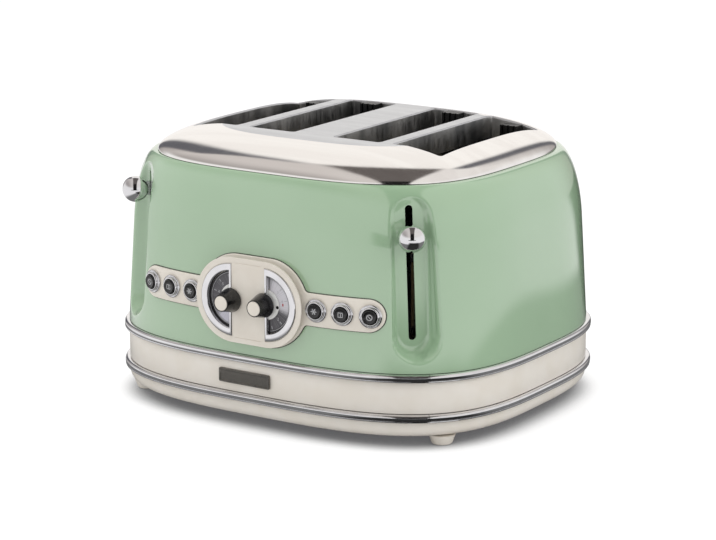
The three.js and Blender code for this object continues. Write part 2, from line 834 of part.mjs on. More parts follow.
function chassisPlate(frontY, withShelf) {
  const backY = frontY - chassisWall;
  const legZ = panFloorZ + seat;
  const wallZ = trayZ + trayHeight + chassisRise;
  const pieces = [
    block([-chassisHalfWidth, chassisHalfWidth], [backY, frontY], [wallZ, chassisTopZ]),
  ];
  [-1, 1].forEach((side) => {
    const outer = side * chassisHalfWidth;
    pieces.push(block([outer - side * chassisLeg, outer], [backY, frontY], [legZ, wallZ + chassisLeg]));
    if (withShelf) {
      const spanX = [side * (unitX - shelfHalfLength), side * (unitX + shelfHalfLength)];
      pieces.push(block(spanX, [frontY - shelfDepth, frontY], [chassisTopZ - chassisWall, chassisTopZ]));
    }
  });
  let plate = joined(pieces);
  const slitBottom = spineZ - carriageDrop - spineHeight;
  const slitTop = spineZ + carriageLift + spineHeight;
  slotPlaces().forEach((x) => {
    const slit = block([x - bracketWall, x + bracketWall], [backY - overrun / 2, frontY + overrun],
      [slitBottom, slitTop]);
    plate = plate.subtract(toSolid(slit));
  });
  return toGeometry(plate);
}

function guideRod(side) {
  const topZ = chassisTopZ - chassisWall - seat;
  return barAlongZ(rodRadius, panFloorZ + seat, topZ, side * unitX, rodY, smallSides);
}

// A wound spring hung from the shelf, its ends running straight along its axis
function returnSpring(side) {
  const topZ = chassisTopZ - chassisWall - seat;
  const length = springLength - carriageRaise(side);
  const bottomZ = topZ - length;
  const stepsPerCurl = 8;
  const sides = 5;
  const centreRadius = springRadius - springWire / 2;
  const run = springWire;
  const wound = length - 4 * run;
  const points = [new THREE.Vector3(0, 0, 0), new THREE.Vector3(0, 0, run)];
  for (let step = 0; step <= springCurls * stepsPerCurl; step += 1) {
    const angle = (2 * Math.PI * step) / stepsPerCurl;
    const height = 2 * run + (wound * step) / (springCurls * stepsPerCurl);
    points.push(new THREE.Vector3(centreRadius * Math.cos(angle), centreRadius * Math.sin(angle), height));
  }
  points.push(new THREE.Vector3(0, 0, length - run), new THREE.Vector3(0, 0, length));
  const rings = points.map((point, index) => {
    const before = points[Math.max(index - 1, 0)];
    const after = points[Math.min(index + 1, points.length - 1)];
    const along = after.clone().sub(before).normalize();
    const outward = new THREE.Vector3(point.x, point.y, 0);
    if (outward.length() < springWire / 2) outward.set(1, 0, 0);
    outward.addScaledVector(along, -outward.dot(along)).normalize();
    const across = along.clone().cross(outward);
    return Array.from({ length: sides }, (unused, corner) => {
      const angle = (2 * Math.PI * corner) / sides;
      return point.clone()
        .addScaledVector(outward, (springWire / 2) * Math.cos(angle))
        .addScaledVector(across, (springWire / 2) * Math.sin(angle));
    });
  });
  return skin(rings).translate(side * (unitX + springX), rodY, bottomZ);
}

// Carriage: a bracket on the guide rod, two bread racks and the arm to the lever knob

function breadRack(x) {
  const frontY = bracketY - bracketWall;
  const rearY = chassisRearY + spineOverhang;
  const topZ = spineZ + spineHeight / 2;
  const pieces = [block([x - bracketWall / 2, x + bracketWall / 2], [frontY, rearY],
    [spineZ - spineHeight / 2, topZ])];
  for (let step = 0; step < fingerCount; step += 1) {
    const y = slotFrontY + slotLength * ((step + 1) / (fingerCount + 1));
    pieces.push(block([x - fingerHalfWidth, x + fingerHalfWidth],
      [y - fingerWidth / 2, y + fingerWidth / 2], [topZ - bracketWall, topZ]));
  }
  return pieces;
}

// How far a carriage stands above the height that its sizes give: the left one is drawn part of the way up
function carriageRaise(side) {
  return side < 0 ? leftCarriageRaise : 0;
}

function carriage(side) {
  const frontY = bracketY - bracketWall;
  const topZ = bracketBottomZ + bracketHeight;
  const spanX = [side * (unitX - bracketHalfLength), side * (unitX + bracketHalfLength)];
  const armEnd = -(ballDistance - armSocket);
  const armStart = bracketY / Math.SQRT1_2 - leverOffset;
  const armRootX = leverOffset * Math.SQRT2 - bracketY;
  const arm = block([-armThickness / 2, armThickness / 2], [armEnd, armStart],
    [ballZ - armHeight / 2, ballZ + armHeight / 2]);
  const pieces = [
    block(spanX, [frontY, bracketY], [bracketBottomZ, topZ]),
    block([side * (unitX - bushHalfWidth), side * (unitX + bushHalfWidth)],
      [bracketY - bracketWall / 2, bracketY + bushDepth], [bracketBottomZ, topZ]),
    block([side * (unitX - armatureHalfWidth), side * (unitX + armatureHalfWidth)],
      [frontY - armatureReach, bracketY], [bracketBottomZ, bracketBottomZ + bracketWall]),
    block([side * (unitX + springX - springRadius), side * (unitX + springX + springRadius)],
      [frontY, rodY + springRadius],
      [springTabZ() - bracketWall, springTabZ()]),
    block([side * unitX, side * (armRootX + armThickness)], [frontY, bracketY],
      [ballZ - armHeight / 2, ballZ + armHeight / 2]),
    atCorner(arm, side),
    ...breadRack(side * innerSlotX),
    ...breadRack(side * outerSlotX),
  ];
  const bore = barAlongZ(rodRadius + rodClearance, bracketBottomZ - overrun, topZ + overrun,
    side * unitX, rodY, smallSides);
  const drawn = toGeometry(joined(pieces).subtract(toSolid(bore)));
  return drawn.translate(0, 0, carriageRaise(side));
}

function springTabZ() {
  return chassisTopZ - chassisWall - 2 * seat - springLength;
}

function ballKnob(side) {
  const ball = new THREE.SphereGeometry(ballRadius, roundSides, smallSides);
  ball.rotateX(Math.PI / 2).translate(-side * ballOffset, -ballDistance, ballZ);
  const socket = block(
    [-armThickness / 2 - seat, armThickness / 2 + seat],
    [-(ballDistance - armSocket + seat), -(ballDistance - ballRadius - overrun)],
    [ballZ - armHeight / 2 - seat, ballZ + armHeight / 2 + seat],
  );
  const drawn = toGeometry(toSolid(atCorner(ball, side)).subtract(toSolid(atCorner(socket, side))));
  return drawn.translate(0, 0, carriageRaise(side));
}

// Heater boards, bread guards and guide blocks

function heaterBoard(x) {
  return block([x - boardThickness / 2, x + boardThickness / 2],
    [chassisFrontY + seat, chassisRearY - chassisWall - seat], [boardBottomZ, boardTopZ]);
}

function boardPlaces() {
  const edge = slotWidth / 2 + boardGap;
  return [innerSlotX - edge, unitX, outerSlotX + edge];
}

// Two wire guards of one pair of slots, on the same side of each slot, with the link that joins them
function breadGuard(side, towards) {
  const opened = guardTravelShare * carriageRaise(side);
  const reach = towards * (slotWidth / 2 - guardInset + opened);
  const half = guardWire / 2;
  const frontY = chassisFrontY + seat;
  const rearY = chassisRearY - chassisWall - seat;
  const linkY = towards < 0 ? frontY + guardLinkEnd : rearY - guardLinkEnd;
  const linkZ = guardBottomZ - guardLinkDrop;
  const pieces = [];
  const places = [innerSlotX, outerSlotX].map((x) => side * (x + reach));
  places.forEach((x) => {
    const spanX = [x - half, x + half];
    pieces.push(block(spanX, [frontY, rearY], [guardBottomZ, guardBottomZ + guardWire]));
    pieces.push(block(spanX, [frontY + guardEndGap, rearY - guardEndGap - guideReach - guardWire],
      [guardTopZ - guardWire, guardTopZ]));
    for (let step = 0; step < guardWireCount; step += 1) {
      const fromY = frontY + guardEndGap;
      const toY = rearY - guardEndGap - guideReach - 2 * guardWire;
      const y = fromY + (toY - fromY) * (step / (guardWireCount - 1));
      pieces.push(block(spanX, [y, y + guardWire], [guardBottomZ, guardTopZ]));
    }
    pieces.push(block(spanX, [linkY - half, linkY + half], [linkZ, guardBottomZ + half]));
  });
  pieces.push(block(places, [linkY - half, linkY + half], [linkZ, linkZ + guardWire]));
  return toGeometry(joined(pieces));
}

// One black moulding per pair of slots: an upright at the back end of each slot on a common foot
function guideBlock(side) {
  const footRearY = chassisRearY - chassisWall - seat;
  const frontY = slotRearY - seat - guideReach;
  const linkZ = boardTopZ + seat;
  const footTopZ = linkZ + guideLinkHeight;
  const guideFootZ = linkZ - guideFootDrop;
  const pieces = [
    block([side * (innerSlotX - guideHalfWidth), side * (outerSlotX + guideHalfWidth)],
      [slotRearY + plateWall + seat, footRearY], [linkZ, footTopZ]),
  ];
  const uprights = [[innerSlotX, guideTopGap], [outerSlotX, guideTopGap + plateRise / 4]];
  uprights.forEach(([x, topGap]) => {
    const spanX = [side * x - guideHalfWidth, side * x + guideHalfWidth];
    pieces.push(block(spanX, [frontY, slotRearY - seat], [guideFootZ, plateTopZ - topGap]));
    pieces.push(block(spanX, [frontY, footRearY], [guideFootZ, footTopZ]));
  });
  let moulding = joined(pieces);
  uprights.forEach(([x]) => {
    for (let rib = 0; rib < guideRibs; rib += 1) {
      const pitch = (2 * guideHalfWidth) / guideRibs;
      const middle = side * x - guideHalfWidth + pitch * (rib + 1 / 2);
      const groove = block([middle - guideRib / 2, middle + guideRib / 2],
        [frontY - overrun, frontY + guideRib], [footTopZ, plateTopZ + overrun]);
      moulding = moulding.subtract(toSolid(groove));
    }
  });
  return toGeometry(moulding);
}

// Control boards and electromagnets

function controlBoard(side) {
  const pieces = [
    block([side * pcbInnerX, side * (buttonX[2] + pcbMargin)], [pcbY, pcbY + pcbThickness],
      [panelZ - pcbHalfHeight, panelZ + pcbHalfHeight]),
    barAlongY(potRadius, pcbY - potDepth, pcbY + pcbThickness / 2, side * dialX, panelZ),
  ];
  buttonX.forEach((x) => {
    const tail = switchPlace(x);
    pieces.push(block([side * tail.x - switchHalfSize, side * tail.x + switchHalfSize],
      [tail.y, pcbY + pcbThickness / 2],
      [panelZ - switchHalfSize, panelZ + switchHalfSize]));
  });
  const bore = barAlongY(shaftRadius + seat, pcbY - potDepth - overrun, pcbY - seat - capDepth,
    side * dialX, panelZ, smallSides);
  return toGeometry(joined(pieces).subtract(toSolid(bore)));
}

function electromagnet(side) {
  const rearY = bracketY - bracketWall - magnetSetback;
  const middleY = rearY - magnetDepth / 2;
  const topZ = bracketBottomZ - carriageDrop - magnetGap;
  const spanX = [side * unitX - magnetHalfWidth, side * unitX + magnetHalfWidth];
  const pieces = [
    block(spanX, [rearY - magnetDepth, rearY], [panFloorZ + seat, topZ - coilHeight]),
    barAlongZ(coilRadius, topZ - coilHeight - overrun, topZ, side * unitX, middleY),
  ];
  return toGeometry(joined(pieces));
}

// Crumb tray with its curved cover, and the cord gland

function crumbTray() {
  const frontY = chassisFrontY + trayFrontGap;
  const topZ = trayZ + trayHeight;
  const reach = 2 * bodyHalfDepth;
  const coverZ = [trayZ - coverLap, topZ + coverLap];
  const coverX = trayHalfWidth + coverSideLap;
  const outside = footPrism(seat + coverThickness, coverZ[0], coverZ[1]);
  const box = toSolid(block([-trayHalfWidth, trayHalfWidth], [frontY, reach], [trayZ, topZ]));
  const hollow = toSolid(block([trayWall - trayHalfWidth, trayHalfWidth - trayWall],
    [frontY + trayWall, reach], [trayZ + trayWall, topZ + overrun]));
  const window = toSolid(block([-coverX, coverX], [0, reach], coverZ));
  const cover = outside.subtract(footPrism(seat, coverZ[0] - overrun, coverZ[1] + overrun))
    .intersect(window);
  const gripY = bodyHalfDepth + seat + coverThickness / 2;
  const gripZ = (trayZ + topZ) / 2;
  const grip = block([-gripHalfWidth, gripHalfWidth], [gripY, rearReach()],
    [gripZ - gripHeight / 2, gripZ + gripHeight / 2]);
  return toGeometry(box.subtract(hollow).intersect(outside).add(cover).add(toSolid(grip)));
}

function rearReach() {
  return bodyHalfDepth + seat + coverThickness + gripReach;
}

function cordGland() {
  const share = (glandX / bodyHalfWidth) ** cornerPower;
  const wallY = bodyHalfDepth * (1 - share) ** (1 / cornerPower);
  const gland = turned([
    [glandBore, wallY - glandDepth], [glandRadius, wallY - glandDepth],
    [glandRadius, wallY + glandProud - glandBore / 2], [glandRadius - glandBore / 2, wallY + glandProud],
    [glandBore, wallY + glandProud], [glandBore, wallY - glandDepth],
  ]);
  return gland.translate(glandX, 0, glandZ());
}

// Finishes

const finishes = {
  enamel: { color: 0x9fc8a0, roughness: 0.22, metalness: 0 },
  steel: { color: 0xc9c6c2, roughness: 0.3, metalness: 1 },
  chrome: { color: 0xdfe1e4, roughness: 0.08, metalness: 1 },
  cream: { color: 0xe4ddcf, roughness: 0.4, metalness: 0 },
  black: { color: 0x18181a, roughness: 0.45, metalness: 0 },
  dial: { color: 0x77797c, roughness: 0.35, metalness: 0.6 },
  pewter: { color: 0x8b8a86, roughness: 0.4, metalness: 1 },
  zinc: { color: 0xa3a5a6, roughness: 0.45, metalness: 1 },
  mica: { color: 0xb9a882, roughness: 0.7, metalness: 0 },
  board: { color: 0x2f5f3a, roughness: 0.6, metalness: 0 },
};

// The whole object stands on its feet with its origin under the middle of its overall box
const toaster = new THREE.Group();
const body = new THREE.Group();
body.position.set(0, (Math.abs(knobFrontY - capProud) - rearReach()) / 2, 0);
toaster.add(body);

function place(name, geometry, finish, position = [0, 0, 0]) {
  const mesh = new THREE.Mesh(geometry, new THREE.MeshStandardMaterial(finishes[finish]));
  mesh.name = name;
  mesh.position.set(...position);
  body.add(mesh);
}

place('outer_shell', outerShell(), 'enamel');
place('top_plate', topPlate(), 'steel');
place('upper_trim_band', trimBand(upperBandZ), 'chrome');
place('base_skirt', baseSkirt(), 'cream');
place('lower_trim_band', trimBand(lowerBandZ), 'chrome');
place('base_pan', basePan(), 'cream');
place('badge_plate', badgePlate(), 'pewter');
place('control_panel', controlPanel(), 'cream');
place('front_chassis_plate', chassisPlate(chassisFrontY, true), 'zinc');
place('rear_chassis_plate', chassisPlate(chassisRearY, false), 'zinc');
place('crumb_tray', crumbTray(), 'zinc');
place('cord_gland', cordGland(), 'black');

[['left', -1], ['right', 1]].forEach(([label, side]) => {
  const footX = side * (bodyHalfWidth - footInsetSide);
  const footY = bodyHalfDepth - footInsetFront;
  place(`foot_front_${label}`, foot(), 'cream', [footX, -footY, 0]);
  place(`foot_rear_${label}`, foot(), 'cream', [footX, footY, 0]);
  place(`dial_bezel_${label}`, dialBezel(side), 'chrome');
  place(`dial_face_${label}`, dialFace(side), 'dial');
  place(`control_knob_${label}`, controlKnob(), 'black', [side * dialX, 0, panelZ]);
  place(`knob_cap_${label}`, knobCap(), 'cream', [side * dialX, 0, panelZ]);
  place(`guide_rod_${label}`, guideRod(side), 'steel');
  place(`return_spring_${label}`, returnSpring(side), 'steel');
  place(`carriage_${label}`, carriage(side), 'zinc');
  place(`lever_ball_${label}`, ballKnob(side), 'chrome');
  place(`bread_guide_${label}`, guideBlock(side), 'black');
  place(`control_board_${label}`, controlBoard(side), 'board');
  place(`electromagnet_${label}`, electromagnet(side), 'zinc');
  place(`guard_pair_${label}_inner`, breadGuard(side, -1), 'steel');
  place(`guard_pair_${label}_outer`, breadGuard(side, 1), 'steel');
  boardPlaces().forEach((x, index) => {
    place(`heater_board_${label}_${index + 1}`, heaterBoard(side * x), 'mica');
  });
  buttonX.forEach((x, index) => {
    place(`button_bezel_${label}_${buttonNames[index]}`, buttonBezel(side, x), 'chrome');
    place(`push_button_${label}_${buttonNames[index]}`, pushButton(side, x), 'black');
  });
});

export default toaster;
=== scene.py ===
import math

import bmesh
import bpy
from bmesh.types import BMEdge, BMFace, BMVert
from mathutils import Matrix, Vector


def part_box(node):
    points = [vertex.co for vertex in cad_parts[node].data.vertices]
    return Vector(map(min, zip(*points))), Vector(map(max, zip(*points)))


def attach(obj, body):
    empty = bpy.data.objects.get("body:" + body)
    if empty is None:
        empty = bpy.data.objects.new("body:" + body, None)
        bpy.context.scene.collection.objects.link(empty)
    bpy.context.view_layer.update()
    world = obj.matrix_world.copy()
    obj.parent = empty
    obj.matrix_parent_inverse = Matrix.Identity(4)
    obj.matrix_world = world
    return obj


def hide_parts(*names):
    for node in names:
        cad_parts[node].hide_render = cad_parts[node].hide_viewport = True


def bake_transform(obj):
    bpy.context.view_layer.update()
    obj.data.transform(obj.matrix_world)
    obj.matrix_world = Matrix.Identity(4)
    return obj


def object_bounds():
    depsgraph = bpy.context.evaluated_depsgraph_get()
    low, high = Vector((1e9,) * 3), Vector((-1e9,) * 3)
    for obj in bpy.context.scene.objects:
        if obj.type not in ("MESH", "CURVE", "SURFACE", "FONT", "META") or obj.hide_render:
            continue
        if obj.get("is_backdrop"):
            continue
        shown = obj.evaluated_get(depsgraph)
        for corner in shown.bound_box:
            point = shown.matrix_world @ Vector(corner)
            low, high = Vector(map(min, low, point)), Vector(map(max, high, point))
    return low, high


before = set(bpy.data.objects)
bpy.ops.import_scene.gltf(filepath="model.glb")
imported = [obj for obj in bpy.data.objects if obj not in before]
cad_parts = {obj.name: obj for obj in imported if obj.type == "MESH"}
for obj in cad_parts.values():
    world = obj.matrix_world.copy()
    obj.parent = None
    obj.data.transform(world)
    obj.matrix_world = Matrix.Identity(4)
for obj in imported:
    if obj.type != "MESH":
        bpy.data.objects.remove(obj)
cad_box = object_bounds()

# The camera
# It stands off the front right corner of the toaster, a little above it, with a long lens, so the
# front, the right side and the slots in the top all show.
mm = 0.001
camera_azimuth = math.radians(33)
camera_elevation = 0.23818
camera_distance = 1890 * mm
camera_target = Vector((-6.55, 15.64, 83.5)) * mm
focal_pixels = 2580.34
image_pixels = 716
sensor_width = 36

ahead = Vector((math.sin(camera_azimuth), -math.cos(camera_azimuth), 0))
beside = Vector((math.cos(camera_azimuth), math.sin(camera_azimuth), 0))
towards_camera = Vector((
    math.sin(camera_azimuth) * math.cos(camera_elevation),
    -math.cos(camera_azimuth) * math.cos(camera_elevation),
    math.sin(camera_elevation),
))
camera_data = bpy.data.cameras.new("camera")
camera_data.sensor_width = sensor_width
camera_data.lens = focal_pixels / image_pixels * sensor_width
camera_data.clip_start = 10 * mm
camera = bpy.data.objects.new("camera", camera_data)
camera.location = camera_target + towards_camera * camera_distance
camera.rotation_euler = (-towards_camera).to_track_quat("-Z", "Y").to_euler()
bpy.context.scene.collection.objects.link(camera)
bpy.context.scene.camera = camera

# The studio
# A pale table under a white sky. What shines mirrors a studio of its own: a bright window across the far side,
# dark flags beside it, a dark gap from the window's edge overhead to the camera, and pale walls to both sides.
# Each span below gives its two ends and how soft they are, and each fade where it starts and ends.
bpy.context.scene.view_settings.view_transform = "Standard"
white = (1, 1, 1, 1)
sky_strength = 0.8
window_colour = (0.98, 0.95, 0.92, 1)
gap_colour = (0.13, 0.115, 0.11, 1)
near_gap_colour = (0.012, 0.011, 0.011, 1)
flag_colour = (0.13, 0.13, 0.145, 1)
left_wall_near = (0.66, 0.62, 0.6, 1)
left_wall_far = (0.42, 0.39, 0.38, 1)
right_wall_colour = (0.82, 0.79, 0.77, 1)
low_wall_colour = (0.9, 0.89, 0.89, 1)
window_fade = (-0.59, -0.53)
window_span = (-0.27, 0.35, 0.03)
flag_span = (-0.46, 0.46, 0.05)
gap_span = (-0.24, 0.29, 0.035)
near_gap_fade = (0.45, 0.7)
left_wall_fade = (-0.85, -0.4)
right_wall_fade = (-0.1, 0.1)
low_wall_fade = (0.2, 0.5, 1.0, 0.0)
far_wall_fade = (-0.85, -0.5, 1.0, 0.0)
horizon_span = (-0.045, 0.03, 0.012)
horizon_width = (-0.5, 0.5, 0.06)
near_side_fade = (0.2, 0.4)
table_size = 6.0
table_matt = (0.78, 0.78, 0.785, 1)
table_shade = (0.16, 0.16, 0.165, 1)
table_matt_share = 0.45
table_lift = 0.66
mirrored_table = (0.93, 0.915, 0.925, 1)
# What shines sees the table with painted shade: a grey pool of painted shadow round the toaster, near-black painted
# shade on the camera's side of it, and more far off behind to the right.
mirrored_painted_shadow = (0.2, 0.2, 0.2, 1)
mirrored_painted_shade = (0.03, 0.03, 0.03, 1)
near_dark_span = (-0.22, 0.7, 0.12)
near_dark_fade = (0.45, 0.62, 1.0, 0.0)
far_dark_fade = (-0.68, -0.56, 1.0, 0.0)
far_dark_side_fade = (0.3, 0.5)
painted_shadow_centre = (0.08, 0.1, 0)
painted_shadow_fade = (0.39, 0.49)
shadow_reach = 0.028
shadow_fade = (0.12, 0.75)
lamp_aim = Vector((0, 0, 0.1))
lamp_places = (
    ("overhead_box", (-0.3, -0.2, 1.9), 1.6, 9.0),
    ("left_box", (-1.9, -1.2, 1.1), 1.3, 6.0),
    ("right_box", (2.2, 0.1, 1.2), 1.3, 9.0),
)


def bare_tree(owner):
    """The emptied node tree of a world or a material."""
    owner.use_nodes = True
    owner.node_tree.nodes.clear()
    return owner.node_tree


def wire_up(tree, kind, inputs=(), **settings):
    """The outputs of a new shader node, whose inputs are wired from sockets or set from values."""
    node = tree.nodes.new("ShaderNode" + kind)
    for name, value in settings.items():
        setattr(node, name, value)
    for name, value in dict(inputs).items():
        if isinstance(value, bpy.types.NodeSocket):
            tree.links.new(value, node.inputs[name])
        else:
            node.inputs[name].default_value = value
    return node.outputs


def calculate(tree, operation, *values):
    """The result of one Math node on sockets or numbers."""
    return wire_up(tree, "Math", enumerate(values), operation=operation)[0]


def product(tree, first, *others):
    """The product of sockets or numbers."""
    for other in others:
        first = calculate(tree, "MULTIPLY", first, other)
    return first


def measured(tree, operation, *vectors):
    """The number that a Vector Math node makes of vectors."""
    return wire_up(tree, "VectorMath", enumerate(vectors), operation=operation)["Value"]


def ramp(tree, value, low, high, start=0.0, end=1.0):
    """A smooth change from start to end as a value goes from low to high."""
    return wire_up(tree, "MapRange", {
        "Value": value, "From Min": low, "From Max": high, "To Min": start, "To Max": end,
    }, interpolation_type="SMOOTHSTEP")["Result"]


def between(tree, value, low, high, blur):
    """One inside a span of a value and none outside it, with soft ends."""
    return product(
        tree, ramp(tree, value, low - blur, low + blur), ramp(tree, value, high - blur, high + blur, 1.0, 0.0))


def mixed(tree, factor, first, second):
    """A colour between two, by a factor."""
    return wire_up(tree, "Mix", {0: factor, 6: first, 7: second}, data_type="RGBA")[2]


def painted_over(tree, colour, *coats):
    """A colour with others laid over it one by one, each through its own mask."""
    for mask, coat in coats:
        colour = mixed(tree, mask, colour, coat)
    return colour


def by_ray(tree, usual, mirrored, seen):
    """One shader for the light that falls about, one for what shines and one for the eye."""
    for ray, shader in (("Is Glossy Ray", mirrored), ("Is Camera Ray", seen)):
        usual = wire_up(tree, "MixShader", {0: wire_up(tree, "LightPath")[ray], 1: usual, 2: shader})[0]
    return usual


def new_piece(name, mesh, *materials):
    """An object of the scene from a finished bmesh."""
    data = bpy.data.meshes.new(name)
    mesh.to_mesh(data)
    mesh.free()
    for material in materials:
        data.materials.append(material)
    piece = bpy.data.objects.new(name, data)
    bpy.context.scene.collection.objects.link(piece)
    return piece


world = bpy.data.worlds.new("studio")
bpy.context.scene.world = world
tree = bare_tree(world)
direction = wire_up(tree, "TexCoord")["Generated"]
nearness, sideways, height = [
    measured(tree, "DOT_PRODUCT", direction, axis) for axis in (ahead, beside, Vector((0, 0, 1)))
]
walls = painted_over(
    tree, left_wall_far,
    (ramp(tree, sideways, *left_wall_fade), left_wall_near),
    (ramp(tree, sideways, *right_wall_fade), right_wall_colour),
    (ramp(tree, height, *low_wall_fade), low_wall_colour),
    (between(tree, sideways, *gap_span),
        mixed(tree, ramp(tree, nearness, *near_gap_fade), gap_colour, near_gap_colour)),
    (product(
        tree, between(tree, height, *horizon_span), ramp(tree, nearness, *near_side_fade),
        between(tree, sideways, *horizon_width)), near_gap_colour),
)
far_side = painted_over(
    tree, walls,
    (ramp(tree, nearness, *far_wall_fade), left_wall_far),
    (between(tree, sideways, *flag_span), flag_colour),
    (between(tree, sideways, *window_span), window_colour),
)
shine = mixed(tree, ramp(tree, nearness, *window_fade), far_side, walls)
skies = [
    wire_up(tree, "Background", {"Color": colour, "Strength": strength})[0]
    for colour, strength in ((white, sky_strength), (shine, 1.0), (white, 1.0))
]
wire_up(tree, "OutputWorld", {"Surface": by_ray(tree, *skies)})

table_paint = bpy.data.materials.new("table_white")
tree = bare_tree(table_paint)
# Seen by the eye, the table's colour is darkened by ambient occlusion close to the toaster, a painted shadow over the
# real one, and it glows with that colour so that it reads white away from the toaster.
nook = wire_up(tree, "AmbientOcclusion", {"Distance": shadow_reach}, samples=12)["AO"]
shaded = mixed(tree, ramp(tree, nook, *shadow_fade), table_shade, white)
matt, seen_matt = [
    wire_up(tree, "BsdfDiffuse", {"Color": colour})[0]
    for colour in (table_matt, mixed(tree, table_matt_share, (0, 0, 0, 1), shaded))
]
lift = wire_up(tree, "Emission", {"Color": shaded, "Strength": table_lift})[0]
seen = wire_up(tree, "AddShader", {0: seen_matt, 1: lift})[0]
spot = wire_up(tree, "TexCoord")["Object"]
bearing = wire_up(tree, "VectorMath", {0: spot}, operation="NORMALIZE")["Vector"]
forward, rightward = [measured(tree, "DOT_PRODUCT", bearing, axis) for axis in (ahead, beside)]
# Painted shade on the table as what shines sees it: a grey pool of painted shadow round the toaster, and near-black
# patches in front of it and far off behind to the right.
near_dark = product(
    tree, between(tree, rightward, *near_dark_span), ramp(tree, forward, *near_side_fade),
    ramp(tree, measured(tree, "LENGTH", spot), *near_dark_fade))
far_dark = product(tree, ramp(tree, forward, *far_dark_fade), ramp(tree, rightward, *far_dark_side_fade))
floor_tone = painted_over(
    tree, mirrored_painted_shadow,
    (ramp(tree, measured(tree, "DISTANCE", spot, painted_shadow_centre), *painted_shadow_fade), mirrored_table),
    (calculate(tree, "MAXIMUM", near_dark, far_dark), mirrored_painted_shade),
)
mirrored = wire_up(tree, "Emission", {"Color": floor_tone, "Strength": 1.0})[0]
wire_up(tree, "OutputMaterial", {"Surface": by_ray(tree, matt, mirrored, seen)})
table_mesh = bmesh.new()
bmesh.ops.create_grid(table_mesh, x_segments=1, y_segments=1, size=table_size / 2)
new_piece("table", table_mesh, table_paint)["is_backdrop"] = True

for name, place, size, power in lamp_places:
    lamp_data = bpy.data.lights.new(name, "AREA")
    lamp_data.shape = "SQUARE"
    lamp_data.size = size
    lamp_data.energy = power
    lamp = bpy.data.objects.new(name, lamp_data)
    lamp.location = place
    lamp.rotation_euler = (lamp_aim - Vector(place)).to_track_quat("-Z", "Y").to_euler()
    lamp.visible_glossy = False
    bpy.context.scene.collection.objects.link(lamp)

# Feet
# Four tapered plugs of moulded plastic under the pan, painted cream like it, each with a rounded lower
# edge so that it slides on a worktop. A screw up through each holds it to the pan.
foot_profile = [
    (0, 0.5), (3.2, 0.5), (3.6, 0), (6.0, 0), (6.75, 0.3), (7.35, 0.95), (7.62, 1.8), (9.4, 6.7), (9.5, 7), (0, 7),
]
cream_tones = (234, 227, 216), (238, 232, 223)


def srgb(colour):
    """A colour given as 8-bit values, as the shaders take it."""
    channels = [value / 255 for value in colour]
    return [c / 12.92 if c <= 0.04045 else ((c + 0.055) / 1.055) ** 2.4 for c in channels] + [1]


def grain_group():
    """The unevenness of a real surface: a fine and a broad mask, and a normal that the fine one raises."""
    group = bpy.data.node_groups.new("surface_grain", "ShaderNodeTree")
    for name, direction, kind in (
        ("Scale", "INPUT", "Float"), ("Stretch", "INPUT", "Vector"), ("Relief", "INPUT", "Float"),
        ("Fine", "OUTPUT", "Float"), ("Broad", "OUTPUT", "Float"), ("Normal", "OUTPUT", "Vector"),
    ):
        group.interface.new_socket(name, in_out=direction, socket_type="NodeSocket" + kind)
    given = group.nodes.new("NodeGroupInput").outputs
    place = wire_up(group, "TexCoord")["Object"]
    stretched = wire_up(group, "VectorMath", {0: place, 1: given["Stretch"]}, operation="MULTIPLY")[0]
    fine = wire_up(group, "TexNoise", {
        "Vector": stretched, "Scale": given["Scale"], "Detail": 4.0, "Roughness": 0.55,
    })[0]
    broad = wire_up(group, "TexNoise", {
        "Vector": stretched, "Scale": product(group, given["Scale"], 0.06), "Detail": 2.0,
    })[0]
    raised = wire_up(group, "Bump", {"Height": fine, "Distance": given["Relief"], "Strength": 1.0})[0]
    sent = group.nodes.new("NodeGroupOutput").inputs
    for name, value in (
        ("Fine", ramp(group, fine, 0.3, 0.7)), ("Broad", ramp(group, broad, 0.3, 0.7)), ("Normal", raised),
    ):
        group.links.new(value, sent[name])
    return group


surface_grain = grain_group()


def finish(name, tones, roughness, scale=600.0, stretch=(1, 1, 1), relief=0.00001, by="Broad", **plain):
    """A material between two tones and two roughnesses by the grain, with plain values for other sockets."""
    material = bpy.data.materials.new(name)
    material.use_nodes = True
    tree = material.node_tree
    shader = tree.nodes["Principled BSDF"].inputs
    grain = tree.nodes.new("ShaderNodeGroup")
    grain.node_tree = surface_grain
    for socket, value in (("Scale", scale), ("Stretch", stretch), ("Relief", relief)):
        grain.inputs[socket].default_value = value
    grain = grain.outputs
    tree.links.new(mixed(tree, grain[by], srgb(tones[0]), srgb(tones[1])), shader["Base Color"])
    tree.links.new(ramp(tree, grain["Fine"], 0, 1, *roughness), shader["Roughness"])
    tree.links.new(grain["Normal"], shader["Normal"])
    for socket, value in plain.items():
        shader[socket.replace("_", " ").title()].default_value = value
    return material


cream_paint = finish("cream_paint", cream_tones, (0.3, 0.38), 900.0, relief=0.000004, coat_weight=0.35)


def settle(piece, slot, nodes=(), body="root", sharp_angle=32):
    """Smooth shading with sharp edges, and what the piece replaces and rides on; slot, the finish it is named as, is
    not used.
    """
    piece.data.shade_smooth()
    piece.data.set_sharp_from_angle(angle=math.radians(sharp_angle))
    if nodes:
        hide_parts(*nodes)
    if body:
        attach(piece, body)
    return piece


def face_outwards(mesh):
    """Turns all the faces of a mesh outwards."""
    bmesh.ops.recalc_face_normals(mesh, faces=mesh.faces)
    return mesh


def move(mesh, *vec):
    """Moves a whole mesh."""
    bmesh.ops.translate(mesh, verts=mesh.verts, vec=vec)
    return mesh


